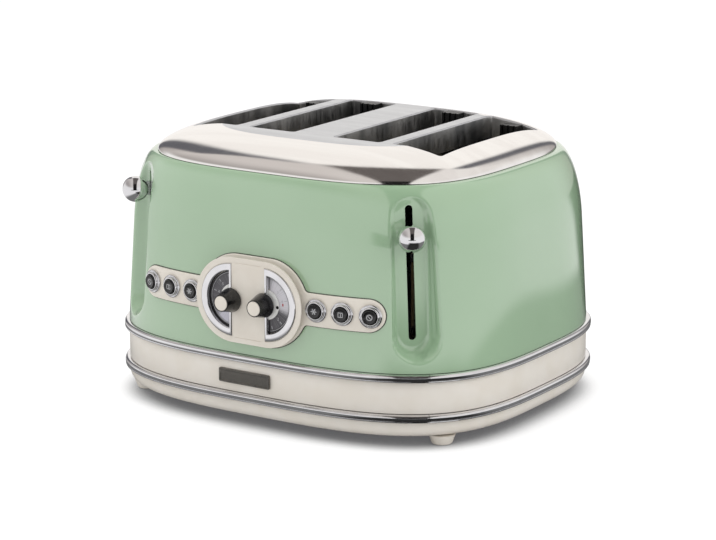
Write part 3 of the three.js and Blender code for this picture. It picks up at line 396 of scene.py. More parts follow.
def turned(profile, steps=64, closed=False, unit=mm):
    """Spins a profile of (radius, height) once round the upright axis."""
    mesh = bmesh.new()
    points = [mesh.verts.new((radius * unit, 0, z * unit)) for radius, z in profile]
    edges = [mesh.edges.new(pair) for pair in zip(points, points[1:])]
    if closed:
        edges.append(mesh.edges.new((points[-1], points[0])))
    bmesh.ops.spin(
        mesh, geom=points + edges, cent=(0, 0, 0), axis=(0, 0, 1),
        angle=2 * math.pi, steps=steps, use_merge=True)
    bmesh.ops.remove_doubles(mesh, verts=mesh.verts, dist=1e-7)
    return face_outwards(mesh)


for name in [f"foot_{end}_{side}" for end in ("front", "rear") for side in ("left", "right")]:
    low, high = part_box(name)
    plug = move(turned(foot_profile, 48), (low.x + high.x) / 2, (low.y + high.y) / 2, low.z)
    settle(new_piece(f"plug_{name}", plug, cream_paint), "cream", [name])

# Base pan
# A shallow dish pressed from sheet steel and painted cream, whose rounded underside carries the feet.
# Two runners stand on its floor for the crumb tray.
shell_low, shell_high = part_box("outer_shell")
half_width = shell_high.x
half_depth = (shell_high.y - shell_low.y) / 2
middle_y = (shell_high.y + shell_low.y) / 2
foot_z, top_z = shell_low.z, shell_high.z
corner_power = 3.2
lean_share = 0.055
outline_steps = 256
pan_bottom_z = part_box("base_pan")[0].z
pan_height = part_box("lower_trim_band")[0].z - 0.3 * mm - pan_bottom_z
pan_profile = [
    (0, 1), (0, 0.72), (0.15, 0.58), (0.5, 0.45), (1.2, 0.32), (2.3, 0.2), (3.8, 0.1), (5.6, 0.03), (8, 0), (30, 0),
]
pan_wall = 2.0 * mm
runner_base_z = pan_bottom_z + 1 * mm
runner_x = (88 * mm, 92 * mm)
runner_y = (-60 * mm, 98 * mm)
runner_top_z = 27.7 * mm


def outline_ring(profile, steps=outline_steps, closed=False):
    """Spins a profile of (inset in mm, height) as a tube one metre in radius, to be pressed to the body."""
    return turned([(1 - inset * mm, z) for inset, z in profile], steps, closed, unit=1)


def press_to_outline(mesh, reach_at, crowding=0.0):
    """Presses a spun mesh to the body's rounded-square outline, of the half sizes that each point gives."""
    for vert in mesh.verts:
        turn = math.atan2(vert.co.y, vert.co.x)
        turn += crowding * math.sin(4 * turn) / 4
        across, along = math.cos(turn), math.sin(turn)
        reach_x, reach_y = reach_at(vert.co)
        vert.co.x = reach_x * math.copysign(abs(across) ** (2 / corner_power), across)
        vert.co.y = middle_y + reach_y * math.copysign(abs(along) ** (2 / corner_power), along)
    return mesh


def press_to_body(mesh, width=half_width, depth=half_depth):
    """Presses a spun tube to the upright part of the body."""
    return press_to_outline(mesh, lambda place: [
        half_size - (1 - math.hypot(place.x, place.y)) for half_size in (width, depth)])


def apply_modifiers(piece):
    """Turns what the modifiers make into the piece's own mesh."""
    graph = bpy.context.evaluated_depsgraph_get()
    made = bpy.data.meshes.new_from_object(piece.evaluated_get(graph))
    piece.modifiers.clear()
    piece.data = made


def thicken(piece, wall):
    """Gives an open sheet its wall, on the side away from its normals."""
    modifier = piece.modifiers.new("wall", "SOLIDIFY")
    modifier.thickness = wall
    modifier.offset = -1
    apply_modifiers(piece)


def combine(piece, operation, *meshes):
    """Takes closed bmeshes out of a piece, or joins them on."""
    for mesh in meshes:
        other = new_piece("cutter", mesh)
        modifier = piece.modifiers.new("cut", "BOOLEAN")
        modifier.operation = operation
        modifier.solver = "MANIFOLD"
        modifier.object = other
        apply_modifiers(piece)
        bpy.data.objects.remove(other)


def round_edges(mesh, edges, offset, segments):
    """Rounds some of a mesh's edges."""
    bmesh.ops.bevel(mesh, geom=edges, offset=offset, segments=segments, profile=0.5, material=-1, affect="EDGES")


def block(low, high, rounding=0.0, segments=3):
    """A block between two corners, with its edges rounded."""
    mesh = bmesh.new()
    bmesh.ops.create_cube(mesh, size=1)
    bmesh.ops.scale(mesh, verts=mesh.verts, vec=[b - a for a, b in zip(low, high)])
    move(mesh, *[(a + b) / 2 for a, b in zip(low, high)])
    if rounding:
        round_edges(mesh, mesh.edges, rounding, segments)
    return mesh


def close_holes(mesh, chosen=lambda place: True):
    """Fills the open rims of a mesh, or those that stand at chosen places."""
    bmesh.ops.holes_fill(mesh, sides=0, edges=[
        edge for edge in mesh.edges if edge.is_boundary and chosen(edge.verts[0].co)])


pan_mesh = outline_ring([(inset, pan_bottom_z + share * pan_height) for inset, share in pan_profile])
close_holes(pan_mesh, lambda place: place.z < runner_base_z)
pan = new_piece("base_pan_dish", face_outwards(press_to_body(pan_mesh)), cream_paint)
thicken(pan, pan_wall)
for side in (-1, 1):
    near_x, far_x = sorted(side * x for x in runner_x)
    combine(pan, "UNION", block((near_x, runner_y[0], runner_base_z), (far_x, runner_y[1], runner_top_z), 0.4 * mm, 2))
settle(pan, "cream", ["base_pan"])

# Trim bands
# Two bright strips, rolled from steel and chromed, that run round the body over and under the skirt.
# Each is a rounded bulge over a small rolled lip and is closed by a butt joint near the front right corner.
band_profile = [
    (6.0, 0.06), (6.0, 0.94), (5.6, 1.0), (2.6, 1.0), (2.1, 0.99), (1.6, 0.965), (1.1, 0.925), (0.7, 0.875),
    (0.38, 0.82), (0.16, 0.76), (0.05, 0.7), (0, 0.62), (0, 0.5), (0, 0.38), (0.06, 0.31), (0.22, 0.26),
    (0.4, 0.24), (0.4, 0.215), (0.2, 0.19), (0.12, 0.12), (0.22, 0.06), (0.7, 0.0), (5.6, 0.0),
]
seam_place = (128.4 * mm, -109.3 * mm)
seam_slope = 45
seam_gap = 0.35 * mm
saw_reach = 20 * mm
chrome = finish(
    "bright_chrome", ((228, 228, 230), (236, 236, 237)), (0.05, 0.09), 1500.0, relief=0.0000015, metallic=1.0)


def hoop(profile, width=half_width, depth=half_depth):
    """A closed section carried once round the body."""
    return face_outwards(press_to_body(outline_ring(profile, closed=True), width, depth))


def swing(mesh, angle, axis, pivot=(0, 0, 0)):
    """Turns a whole mesh about an axis."""
    bmesh.ops.rotate(mesh, verts=mesh.verts, cent=pivot, matrix=Matrix.Rotation(angle, 3, axis))
    return mesh


for name in ("lower_trim_band", "upper_trim_band"):
    low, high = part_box(name)
    profile = [(inset, low.z + share * (high.z - low.z)) for inset, share in band_profile]
    band = new_piece(name + "_strip", hoop(profile, high.x, (high.y - low.y) / 2), chrome)
    saw = block((-saw_reach, -seam_gap / 2, low.z - 1 * mm), (saw_reach, seam_gap / 2, high.z + 1 * mm))
    swing(saw, -math.radians(seam_slope), "Z")
    combine(band, "DIFFERENCE", move(saw, seam_place[0], seam_place[1] + middle_y, 0))
    settle(band, "bright_trim", [name])

# Skirt
# A hoop of sheet steel painted cream between the two bands. At the back it is open for the crumb tray and
# bored for the cord gland.
skirt_low, skirt_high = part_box("base_skirt")
skirt_wall = 2.2
skirt_edge = 0.35
tray_opening = ((-98.6 * mm, 83 * mm, 27.4 * mm), (98.6 * mm, 160 * mm, 36.6 * mm))
gland_low, gland_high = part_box("cord_gland")
gland_centre = (gland_low + gland_high) / 2
gland_radius = (gland_high.x - gland_low.x) / 2
gland_ease = 0.3


def hoop_profile(low, high, inner, outer, edge):
    """The section of a hoop with its four edges eased, in mm from the body and in metres up."""
    step = edge * mm
    return [
        (inner, low + step), (inner, high - step), (inner - edge, high), (outer + edge, high),
        (outer + edge * 0.3, high - step * 0.3), (outer, high - step), (outer, low + step),
        (outer + edge * 0.3, low + step * 0.3), (outer + edge, low), (inner - edge, low),
    ]


def along_y(mesh, x=0.0, y=0.0, z=0.0):
    """Lays a mesh turned about the upright axis down, its top to the front, and puts it in place."""
    return move(swing(mesh, math.pi / 2, "X"), x, y, z)


def rod(radius, low, high, steps=32):
    """A plain closed cylinder about the upright axis, as a cutter or a pin."""
    return turned([(0, low), (radius, low), (radius, high), (0, high)], steps)


skirt_mesh = hoop(hoop_profile(skirt_low.z, skirt_high.z, skirt_wall, 0, skirt_edge))
skirt = new_piece("skirt_hoop", skirt_mesh, cream_paint)
combine(
    skirt, "DIFFERENCE", block(*tray_opening),
    along_y(rod(gland_radius / mm + gland_ease, -40, 40), *gland_centre))
settle(skirt, "cream", ["base_skirt"])

# Badge plate
# A small plate of cast pewter with a raised border round a plain sunk field, bent to the skirt. Two pins
# behind it go through the skirt and hold it.
badge_low, badge_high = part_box("badge_plate")
badge_border = 1.1 * mm
badge_sink = 0.45 * mm
badge_bevel = 0.35 * mm
badge_corner = 1.2 * mm
badge_ease = 0.3 * mm
badge_back_gap = 0.3 * mm
badge_thickness = 1.6 * mm
touch = 0.01 * mm
pewter = finish(
    "cast_pewter", ((112, 109, 104), (150, 147, 141)), (0.3, 0.48), 1400.0, relief=0.00002, by="Fine", metallic=1.0)


def front_y(x, z, outward=0.0):
    """The Y place of the body's front at an X place and a height, or of a surface outside it."""
    drawn_in = lean_share * max(z - foot_z, 0)
    width = half_width - drawn_in + outward
    depth = half_depth - drawn_in + outward
    return middle_y - depth * (1 - (abs(x) / width) ** corner_power) ** (1 / corner_power)


def cut_plane(mesh, place, normal, clear=False):
    """Cuts a mesh along a plane, and may take away what is beyond it."""
    bmesh.ops.bisect_plane(
        mesh, geom=mesh.verts[:] + mesh.edges[:] + mesh.faces[:], dist=1e-7,
        plane_co=place, plane_no=normal, clear_outer=clear)


def bend_to_front(mesh, outward, reach, pitch):
    """Slices a flat mesh, drawn with its back on Y = 0, by upright planes, and bends it to the body's front."""
    low, high = reach
    for step in range(1, int((high - low) / pitch)):
        cut_plane(mesh, (low + step * pitch, 0, 0), (1, 0, 0))
    for vert in mesh.verts:
        vert.co.y += front_y(vert.co.x, vert.co.z, outward)


badge_mesh = block((badge_low.x, -badge_thickness, badge_low.z), (badge_high.x, 0, badge_high.z))
corners = [edge for edge in badge_mesh.edges if abs(edge.verts[0].co.y - edge.verts[1].co.y) > 1 * mm]
round_edges(badge_mesh, corners, badge_corner, 5)
face = min(badge_mesh.faces, key=lambda face: face.calc_center_median().y)
bmesh.ops.inset_region(badge_mesh, faces=[face], thickness=badge_ease, depth=0)
for vert in badge_mesh.verts:
    if vert.co.y < -badge_thickness + touch and not any(vert in edge.verts for edge in face.edges):
        vert.co.y += badge_ease
bmesh.ops.inset_region(badge_mesh, faces=[face], thickness=badge_border, depth=0)
bmesh.ops.inset_region(badge_mesh, faces=[face], thickness=badge_bevel, depth=-badge_sink)
bend_to_front(badge_mesh, badge_back_gap, (badge_low.x, badge_high.x), 2 * mm)
settle(new_piece("badge_blank", face_outwards(badge_mesh), pewter), "pewter", ["badge_plate"])

# Crumb tray
# A folded tray of zinc-coated steel that slides out at the back, with a painted cover bent to the skirt and
# a moulded grip across the middle of the cover.
tray_low, tray_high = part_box("crumb_tray")
tray_half_width = 98 * mm
tray_floor_z = 28 * mm
tray_rim_z = 36 * mm
tray_wall = 1 * mm
tray_ease = 0.3 * mm
cover_gap = 0.3
cover_thickness = 2.4
cover_edge = 0.6
grip_half_width = 40 * mm
grip_z = (29.5 * mm, 34.5 * mm)
grip_root = 1.5 * mm
grip_round = 1.4 * mm
zinc = finish(
    "zinc_coated_steel", ((120, 121, 122), (176, 178, 180)), (0.34, 0.55), 420.0, (1, 1, 1), 0.000006, metallic=1.0)


def picked(kind, made):
    """The items of one kind among those that an operator has made."""
    return [item for item in made["geom"] if isinstance(item, kind)]


def draw_out(mesh, faces, *vec):
    """Draws faces of a mesh out along a vector."""
    made = bmesh.ops.extrude_face_region(mesh, geom=faces)
    bmesh.ops.translate(mesh, verts=picked(BMVert, made), vec=vec)


tray_back = 2 * middle_y - front_y(tray_half_width, foot_z)
tray_mesh = block((-tray_half_width, tray_low.y, tray_floor_z), (tray_half_width, tray_back, tray_rim_z))
top_face = max(tray_mesh.faces, key=lambda face: face.calc_center_median().z)
bmesh.ops.inset_region(tray_mesh, faces=[top_face], thickness=tray_wall)
draw_out(tray_mesh, [top_face], 0, 0, -(tray_rim_z - tray_floor_z - tray_wall))
bmesh.ops.delete(tray_mesh, geom=[top_face], context="FACES_ONLY")
face_outwards(tray_mesh)
round_edges(tray_mesh, tray_mesh.edges, tray_ease, 2)
settle(new_piece("tray_dish", tray_mesh, zinc), "zinc", ["crumb_tray"], "crumb_tray")

cover_mesh = hoop(hoop_profile(tray_low.z, tray_high.z, -cover_gap, -cover_gap - cover_thickness, cover_edge))
for place, normal in (((tray_high.x, 0, 0), (1, 0, 0)), ((tray_low.x, 0, 0), (-1, 0, 0)), ((0, 0, 0), (0, -1, 0))):
    cut_plane(cover_mesh, place, normal, clear=True)
close_holes(cover_mesh)
cover = new_piece("tray_cover", face_outwards(cover_mesh), cream_paint)
combine(cover, "UNION", block(
    (-grip_half_width, middle_y + half_depth + grip_root, grip_z[0]), (grip_half_width, tray_high.y, grip_z[1]),
    grip_round, 4))
settle(cover, "cream", body="crumb_tray")

# Cord gland
# A black moulded grommet with two ribs, pressed into its hole in the skirt, where the mains cord goes in.
# It is soft enough to grip the cord.
gland_profile = [
    (4, 0), (7.5, 0), (7.5, 6.6), (7.0, 7.0), (7.0, 8.0), (7.5, 8.4), (7.5, 9.6), (6.7, 10.0), (6.7, 11.0),
    (7.1, 11.4), (7.1, 12.6), (6.2, 13.0), (6.2, 14.2), (5.6, 15.0), (4.6, 15.0), (4.0, 14.4),
]
black_plastic = finish("black_plastic", ((14, 14, 15), (24, 24, 25)), (0.3, 0.42), 1800.0, relief=0.000012)

gland = along_y(turned(gland_profile, 48, closed=True), gland_centre.x, gland_low.y, gland_centre.z)
for vert in gland.verts:
    vert.co.y = 2 * gland_low.y - vert.co.y
settle(new_piece("gland_grommet", face_outwards(gland), black_plastic), "black_plastic", ["cord_gland"])

# Inner frame
# Two folded plates of zinc-coated steel stand across the body in front of and behind the toasting slots
# and carry the racks, rods and boards. A steel guide rod stands in front on each side.


def dress(material, *names):
    """Gives solids of the CAD model their finish, where they stay as they are."""
    for name in names:
        materials = bpy.data.objects[name].data.materials
        materials.clear()
        materials.append(material)


dress(zinc, "front_chassis_plate", "rear_chassis_plate", "guide_rod_left", "guide_rod_right")

# Electromagnets
# A steel foot with a wound coil on it, at the foot of each guide rod, which holds the lowered carriage
# until the bread is done.
dress(zinc, "electromagnet_left", "electromagnet_right")

# Heater boards
# Sheets of mica with heating ribbon wound round them, one on each side of every bread slot. They stand
# upright between the two plates.
mica = finish("mica_sheet", ((176, 160, 122), (206, 193, 160)), (0.35, 0.6), 260.0, (1, 1, 2.5), 0.00001)
sides = ((-1, "left"), (1, "right"))

dress(mica, *[f"heater_board_{name}_{number}" for _, name in sides for number in (1, 2, 3)])

# Bread guards and carriages
# A pair of welded wire grids in each slot closes on the bread as the carriage goes down. The carriage is a
# bracket on the guide rod, with two bread racks and the arm out to the lever ball, bent from bright steel.
wire_steel = finish(
    "bright_wire", ((168, 168, 170), (205, 205, 207)), (0.2, 0.36), 900.0, relief=0.000004, metallic=1.0)

for _, name in sides:
    dress(wire_steel, f"guard_pair_{name}_inner", f"guard_pair_{name}_outer", f"carriage_{name}")

# Return springs
# A wound steel spring beside each guide rod draws its carriage up again when it lets go. Here it stands
# fixed and does not draw out as its carriage goes down.
spring_wire = 1.0 * mm
spring_curls = 7
spring_steps = spring_curls * 32
spring_run = 1.0 * mm
spring_pin = 2.4


def add_mesh(mesh, other):
    """Joins a second bmesh to a first."""
    data = bpy.data.meshes.new("joined")
    other.to_mesh(data)
    other.free()
    mesh.from_mesh(data)
    bpy.data.meshes.remove(data)


for _, name in sides:
    low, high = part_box(f"return_spring_{name}")
    centre = (low + high) / 2
    coil_radius = (high.x - low.x) / 2 - spring_wire / 2
    coil = bmesh.new()
    bmesh.ops.create_circle(coil, cap_ends=False, segments=10, radius=spring_wire / 2)
    swing(coil, math.pi / 2, "X")
    move(coil, centre.x + coil_radius, centre.y, low.z + 2 * spring_run)
    bmesh.ops.spin(
        coil, geom=coil.verts[:] + coil.edges[:], cent=(centre.x, centre.y, 0), axis=(0, 0, 1),
        angle=2 * math.pi * spring_curls, steps=spring_steps,
        dvec=(0, 0, (high.z - low.z - 4 * spring_run) / spring_steps))
    for end in (low.z, high.z - spring_pin * mm):
        add_mesh(coil, move(rod(spring_wire / 2 / mm, 0, spring_pin, 10), centre.x, centre.y, end))
    close_holes(coil)
    spring = new_piece(f"wound_spring_{name}", face_outwards(coil), wire_steel)
    settle(spring, "zinc", [f"return_spring_{name}"], body="")
    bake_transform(spring)

# Enamelled shell
# One deep-drawn sheet-steel cover with glossy mint enamel over it. It leans in a little from its foot,
# its shoulder rolls in under the top plate, and a flute is pressed into each front corner for a lever.
shoulder_height = 48.4 * mm
shoulder_inset_side = 15.8 * mm
shoulder_inset_front = 6.4 * mm
shoulder_z = top_z - shoulder_height
rim_width = 4.4
shell_wall = 1.2 * mm
shell_steps = 512
corner_crowding = 0.5
flute_half_width = 11.7 * mm
flute_flare_share = 0.44
flute_top_z = top_z - 6.4 * mm
flute_bottom_z = foot_z + 13 * mm
flute_sink = 12.5 * mm
flute_lean_share = 0.01
flute_edge_blend = 3.2 * mm
flute_floor_blend = 2.4 * mm
lever_slot_top = top_z - 12 * mm
lever_slot_bottom = foot_z + 20.4 * mm
lever_slot_width = 5.2 * mm
lever_offset = 3.9 * mm
lever_skew = 0.032
slot_middle_z = (lever_slot_top + lever_slot_bottom) / 2
corner_angle = math.pi / 4
corner_reach = math.sqrt(2) / (half_width ** -corner_power + half_depth ** -corner_power) ** (1 / corner_power)
flute_floor = corner_reach - flute_sink
panel_z = foot_z + 38.8 * mm
dial_x = 13.65
shaft_hole_radius = 3.6
shaft_cut = (-12, 12)
front_cut = (80, 180)
button_x = (51.7, 71.1, 90.6)
barrel_hole_radius = 6.4
barrel_cut = (-10, 20)
enamel_foot_z = flute_bottom_z - 9 * mm
enamel_foot_pitch = 0.9 * mm
enamel_foot_rows = 26
enamel_straight_rows = 18
enamel_shoulder_rows = 42
enamel = finish(
    "mint_enamel", ((156, 186, 152), (161, 190, 157)), (0.16, 0.2), 160.0, relief=0.000004,
    coat_weight=1.0, coat_roughness=0.03)
enamel.node_tree.nodes["Principled BSDF"].inputs["Coat IOR"].default_value = 1.85


def shell_reach(place):
    """The shell's half sizes at a point of the tube it is pressed from."""
    climb = min(max((place.z - shoulder_z) / shoulder_height, 0), 1)
    roll = 1 - math.sqrt(1 - climb * climb)
    drawn_in = lean_share * (place.z - foot_z)
    inset = 1 - math.hypot(place.x, place.y)
    return [
        half_size - (drawn_in + shoulder_inset * roll) - inset
        for half_size, shoulder_inset in ((half_width, shoulder_inset_side), (half_depth, shoulder_inset_front))
    ]


def soft_least(first, second, blend):
    """The smaller of two lengths, with the change between them rounded."""
    share = max(blend - abs(first - second), 0) / blend
    return min(first, second) - share * share * blend / 4


def flute_wall(across, z):
    """How far outside the flute's floor outline a point lies, rounded at the foot of the wall."""
    beyond = max(z - (flute_top_z - flute_half_width), flute_bottom_z + flute_half_width - z, 0)
    outside = math.hypot(across, beyond) - flute_half_width
    return -soft_least(-outside, 0, flute_floor_blend)


def press_flute(vert):
    """Presses a point of the shell in to the flute at its front corner."""
    side = math.copysign(1, vert.co.x)
    sine, cosine = side * math.sin(corner_angle), math.cos(corner_angle)
    across = vert.co.x * cosine + (vert.co.y - middle_y) * sine
    out = vert.co.x * sine - (vert.co.y - middle_y) * cosine
    floor = flute_floor + flute_lean_share * (lever_slot_top - vert.co.z)
    middle = side * (lever_offset - lever_skew * (vert.co.z - slot_middle_z))
    wall = flute_wall(across - middle, vert.co.z) / flute_flare_share
    pressed = soft_least(out, floor + wall, flute_edge_blend)
    vert.co.x += (pressed - out) * sine
    vert.co.y -= (pressed - out) * cosine


def lever_slot(side):
    """A cutter for a lever's slot: a bar with round ends, leant over and turned to its front corner."""
    mesh = bmesh.new()
    bmesh.ops.create_circle(mesh, cap_ends=True, segments=32, radius=lever_slot_width / 2)
    swing(swing(mesh, math.pi / 2, "X"), math.pi / 32, "Y")
    near_y, far_y = -corner_reach - 10 * mm, -flute_floor + 10 * mm
    stretch = (lever_slot_top - lever_slot_bottom - lever_slot_width) / 2
    for vert in mesh.verts:
        vert.co.z += slot_middle_z + math.copysign(stretch, vert.co.z)
        vert.co.y = near_y
    draw_out(mesh, mesh.faces[:], 0, far_y - near_y, 0)
    swing(face_outwards(mesh), -side * lever_skew, "Y", (0, 0, slot_middle_z))
    move(mesh, side * lever_offset, 0, 0)
    return move(swing(mesh, side * corner_angle, "Z"), 0, middle_y, 0)


def at_button(mesh, side, x):
    """Moves a mesh drawn about the origin, its face to the front, to a button's place square to the shell."""
    lean = 0.5 * mm
    slope = (front_y(x * mm + lean, panel_z) - front_y(x * mm - lean, panel_z)) / (2 * lean)
    return move(swing(mesh, side * math.atan(slope), "Z"), side * x * mm, front_y(x * mm, panel_z), 0)


def shaft_hole(side, y=0.0, cut=shaft_cut, radius=shaft_hole_radius, steps=32):
    """A cutter about a dial's shaft, between two places in mm in front of a Y place."""
    return along_y(rod(radius, *cut, steps), side * dial_x * mm, y, panel_z)


def barrel_holes(side):
    """Cutters for the barrels of the three buttons on one arm."""
    return [at_button(along_y(rod(barrel_hole_radius, *barrel_cut), z=panel_z), side, x) for x in button_x]


profile = [(0, foot_z), (0, foot_z + 3 * mm)]
profile += [(0, enamel_foot_z + step * enamel_foot_pitch) for step in range(enamel_foot_rows)]
last_z = profile[-1][1]
profile += [
    (0, last_z + (shoulder_z - last_z) * step / enamel_straight_rows)
    for step in range(1, enamel_straight_rows + 1)
]
profile += [
    (0, shoulder_z + shoulder_height * math.sin(math.pi / 2 * step / enamel_shoulder_rows))
    for step in range(1, enamel_shoulder_rows + 1)
]
profile += [(rim_width * share, top_z) for share in (0.25, 0.5, 0.75, 1)]
shell_mesh = press_to_outline(outline_ring(profile, shell_steps), shell_reach, corner_crowding)
for vert in shell_mesh.verts:
    if vert.co.y < middle_y:
        press_flute(vert)
shell = new_piece("enamelled_shell", shell_mesh, enamel)
thicken(shell, shell_wall)
for side in (-1, 1):
    combine(shell, "DIFFERENCE", lever_slot(side), shaft_hole(side, cut=front_cut), *barrel_holes(side))
settle(shell, "enamel", ["outer_shell"], sharp_angle=30)

# Top plate
# A stainless cover pressed from one sheet: a satin plateau, a crease round it, and a polished roll down to the
# shell. Each slot is cut out and its edge is folded down into a galvanised-looking flange.
plate_low, plate_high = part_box("top_plate")
plate_half_width = plate_high.x
plate_half_depth = (plate_high.y - plate_low.y) / 2
roll_width_side = 41.4 * mm
roll_width_front = 39.6 * mm
roll_slope_share = 0.35
roll_drop = 17.3 * mm
slot_half_width = 18.95 * mm
slot_half_length = 67.5 * mm
slot_corner = 2 * mm
slot_centre_y = middle_y + 10 * mm
slot_centres = (-84.85 * mm, -35.85 * mm, 35.85 * mm, 84.85 * mm)
lip_radius = 1.3 * mm
lip_steps = 5
flange_foot_z = 179 * mm
plate_wall = 0.9 * mm
plate_steps = 384
plateau_rings = [0.02, 0.1, 0.2, 0.3, 0.4, 0.5, 0.6, 0.7, 0.78, 0.85, 0.9, 0.94, 0.97, 0.988, 0.995, 1]
roll_rings = [0.008, 0.02, 0.05] + [0.05 + 0.83 * step / 24 for step in range(1, 25)] + [
    0.9, 0.92, 0.94, 0.955, 0.968, 0.978, 0.986, 0.992, 0.996, 0.999, 1]
satin_steel = finish(
    "satin_steel", ((206, 208, 211), (216, 218, 221)), (0.3, 0.4), 1600.0, (0.05, 1, 1), 0.000004, metallic=1.0)
polished_steel = finish(
    "polished_steel", ((243, 240, 237), (249, 247, 244)), (0.08, 0.13), 1500.0, (0.06, 1, 1), 0.000002, metallic=1.0)
flange_steel = finish(
    "flange_steel", ((120, 121, 122), (206, 205, 203)), (0.3, 0.5), 700.0, (1, 1, 0.12), 0.00001, metallic=1.0)


def plate_reach(ring):
    """The half sizes of the plate's outline at a ring: up to 1 within the crease, and 2 at the edge."""
    inside, rolled = min(ring, 1), max(ring - 1, 0)
    return (
        (plate_half_width - roll_width_side) * inside + roll_width_side * rolled,
        (plate_half_depth - roll_width_front) * inside + roll_width_front * rolled,
    )


def plate_drop(place):
    """How far the plate has come down from its plateau at a place."""
    low, high = 1.0, 2.0
    for _ in range(24):
        ring = (low + high) / 2
        width, depth = plate_reach(ring)
        if (abs(place.x) / width) ** corner_power + (abs(place.y - middle_y) / depth) ** corner_power > 1:
            low = ring
        else:
            high = ring
    share = (low + high) / 2 - 1
    slope = roll_slope_share * share
    return roll_drop * (slope + (1 - roll_slope_share) * (1 - math.sqrt(max(1 - share * share, 0))))


def slot_offset(place, centre_x):
    """The nearest point of a slot's inner core to a place, and the way and distance out from it."""
    reach_x, reach_y = slot_half_width - slot_corner, slot_half_length - slot_corner
    core = Vector((
        centre_x + min(max(place.x - centre_x, -reach_x), reach_x),
        slot_centre_y + min(max(place.y - slot_centre_y, -reach_y), reach_y), 0))
    return core, Vector((place.x, place.y, 0)) - core


def slot_block(centre_x, grown):
    """An upright block of a slot's outline, grown by an offset."""
    width, length = slot_half_width + grown, slot_half_length + grown
    mesh = block(
        (centre_x - width, slot_centre_y - length, -20 * mm), (centre_x + width, slot_centre_y + length, 20 * mm))
    upright = [edge for edge in mesh.edges if abs(edge.verts[0].co.z - edge.verts[1].co.z) > 10 * mm]
    round_edges(mesh, upright, slot_corner + grown, 8)
    return mesh


def on_slot_rim(edge, centre_x):
    """Whether an edge lies on the cut for a slot."""
    return edge.is_boundary and all(
        abs(slot_offset(vert.co, centre_x)[1].length - slot_corner - lip_radius) < 0.1 * mm for vert in edge.verts)


sheet_mesh = turned([(ring, 0) for ring in plateau_rings + [1 + ring for ring in roll_rings]], plate_steps, unit=1)
close_holes(sheet_mesh, lambda place: place.length < 0.1)
press_to_outline(sheet_mesh, lambda place: plate_reach(math.hypot(place.x, place.y)), corner_crowding)
draw_out(sheet_mesh, sheet_mesh.faces[:], 0, 0, -10 * mm)
plate = new_piece("top_plate_sheet", face_outwards(sheet_mesh), satin_steel, polished_steel, flange_steel)
combine(plate, "DIFFERENCE", *[slot_block(centre_x, lip_radius) for centre_x in slot_centres])
plate_mesh = bmesh.new()
plate_mesh.from_mesh(plate.data)
bmesh.ops.delete(plate_mesh, geom=[face for face in plate_mesh.faces if face.normal.z < 0.5], context="FACES")
for vert in plate_mesh.verts:
    vert.co.z = plate_high.z - plate_drop(vert.co)
for face in plate_mesh.faces:
    face.material_index = 1 if plate_drop(face.calc_center_median()) > touch else 0
for centre_x in slot_centres:
    rim = [edge for edge in plate_mesh.edges if on_slot_rim(edge, centre_x)]
    for step in range(1, lip_steps + 2):
        made = bmesh.ops.extrude_edge_only(plate_mesh, edges=rim)
        rim = [edge for edge in picked(BMEdge, made) if edge.is_boundary]
        for face in picked(BMFace, made):
            face.material_index = 2 if step > lip_steps - 1 else 0
        before, after = [math.pi / 2 * count / lip_steps for count in (step - 1, step)]
        for vert in picked(BMVert, made):
            if step > lip_steps:
                vert.co.z = flange_foot_z
                continue
            core, away = slot_offset(vert.co, centre_x)
            placed = core + away.normalized() * (slot_corner + lip_radius * (1 - math.sin(after)))
            vert.co = (placed.x, placed.y, vert.co.z - lip_radius * (math.cos(before) - math.cos(after)))
face_outwards(plate_mesh)
plate_mesh.to_mesh(plate.data)
plate_mesh.free()
thicken(plate, plate_wall)
settle(plate, "top_steel", ["top_plate"])

# Bread guides
# Ribbed blocks of heat-proof black plastic at the back end of each pair of slots. They are moulded in one
# piece each and screwed to the rear plate.
dress(black_plastic, "bread_guide_left", "bread_guide_right")

# Control boards
# A board of green glass-epoxy behind the panel on each side, with the timer's turning control and three
# push switches on it.
board_green = finish("circuit_board", ((24, 66, 40), (34, 84, 52)), (0.3, 0.45), 500.0, relief=0.00001, coat_weight=0.4)
dress(board_green, "control_board_left", "control_board_right")

# Control panel
# One cream moulding across the front: an oval with an arm to each side, bent to the shell and held by four
# pegs, and a raised boss on the oval with a half-round well for each dial. A thin dark strip under its edge
# is painted shade along the gap between panel and shell.
panel_thickness = 1.4 * mm
panel_gap = 0.3 * mm
panel_edge_round = 0.6 * mm
panel_reach = (-104 * mm, 104 * mm)
bend_pitch = 2.5 * mm
arm_half_height = 11.2
arm_end_inset = 1.6
oval_radius = 30.8
oval_fillet = 4
boss_reach = 5.1
boss_root = 0.8 * mm
boss_profile = [
    (30.1, 0), (29.85, 0.2), (29.4, 0.65), (28.8, 1.35), (28.2, 2.15), (27.6, 3.0), (27.1, 3.75), (26.75, 4.3),
    (26.45, 4.72), (26.25, 4.97), (26.1, 5.1),
]
well_radius = 25.9
well_depth = 4.0
hub_pocket_radius = 11.3
hub_pocket_depth = 2.7
hub_margin = 0.2
peg_radius = 2.0
peg_root = 0.6
peg_x = (37.0, 80.85)
# The strip of painted shade under the panel's edge: how far it shows beyond the panel, how thick it is and its gap to
# the shell.
shadow_line_width = 0.55
shadow_line_thickness = 0.35 * mm
shadow_line_gap = 0.05 * mm
groove_half_width = 11.2 * mm
groove_z = (26.2, 26.55)
groove_sink = 0.3 * mm
panel_cream = finish("cream_moulding", ((228, 220, 208), (233, 226, 215)), (0.34, 0.42), 1300.0, relief=0.000004)
# The dark grey-green colour of the strip of painted shade under the panel.
shadow_line_paint = finish("shadow_line_paint", ((62, 66, 58), (74, 78, 70)), (0.6, 0.75))
boss_face_y = front_y(0, panel_z, panel_gap) - panel_thickness - boss_reach * mm


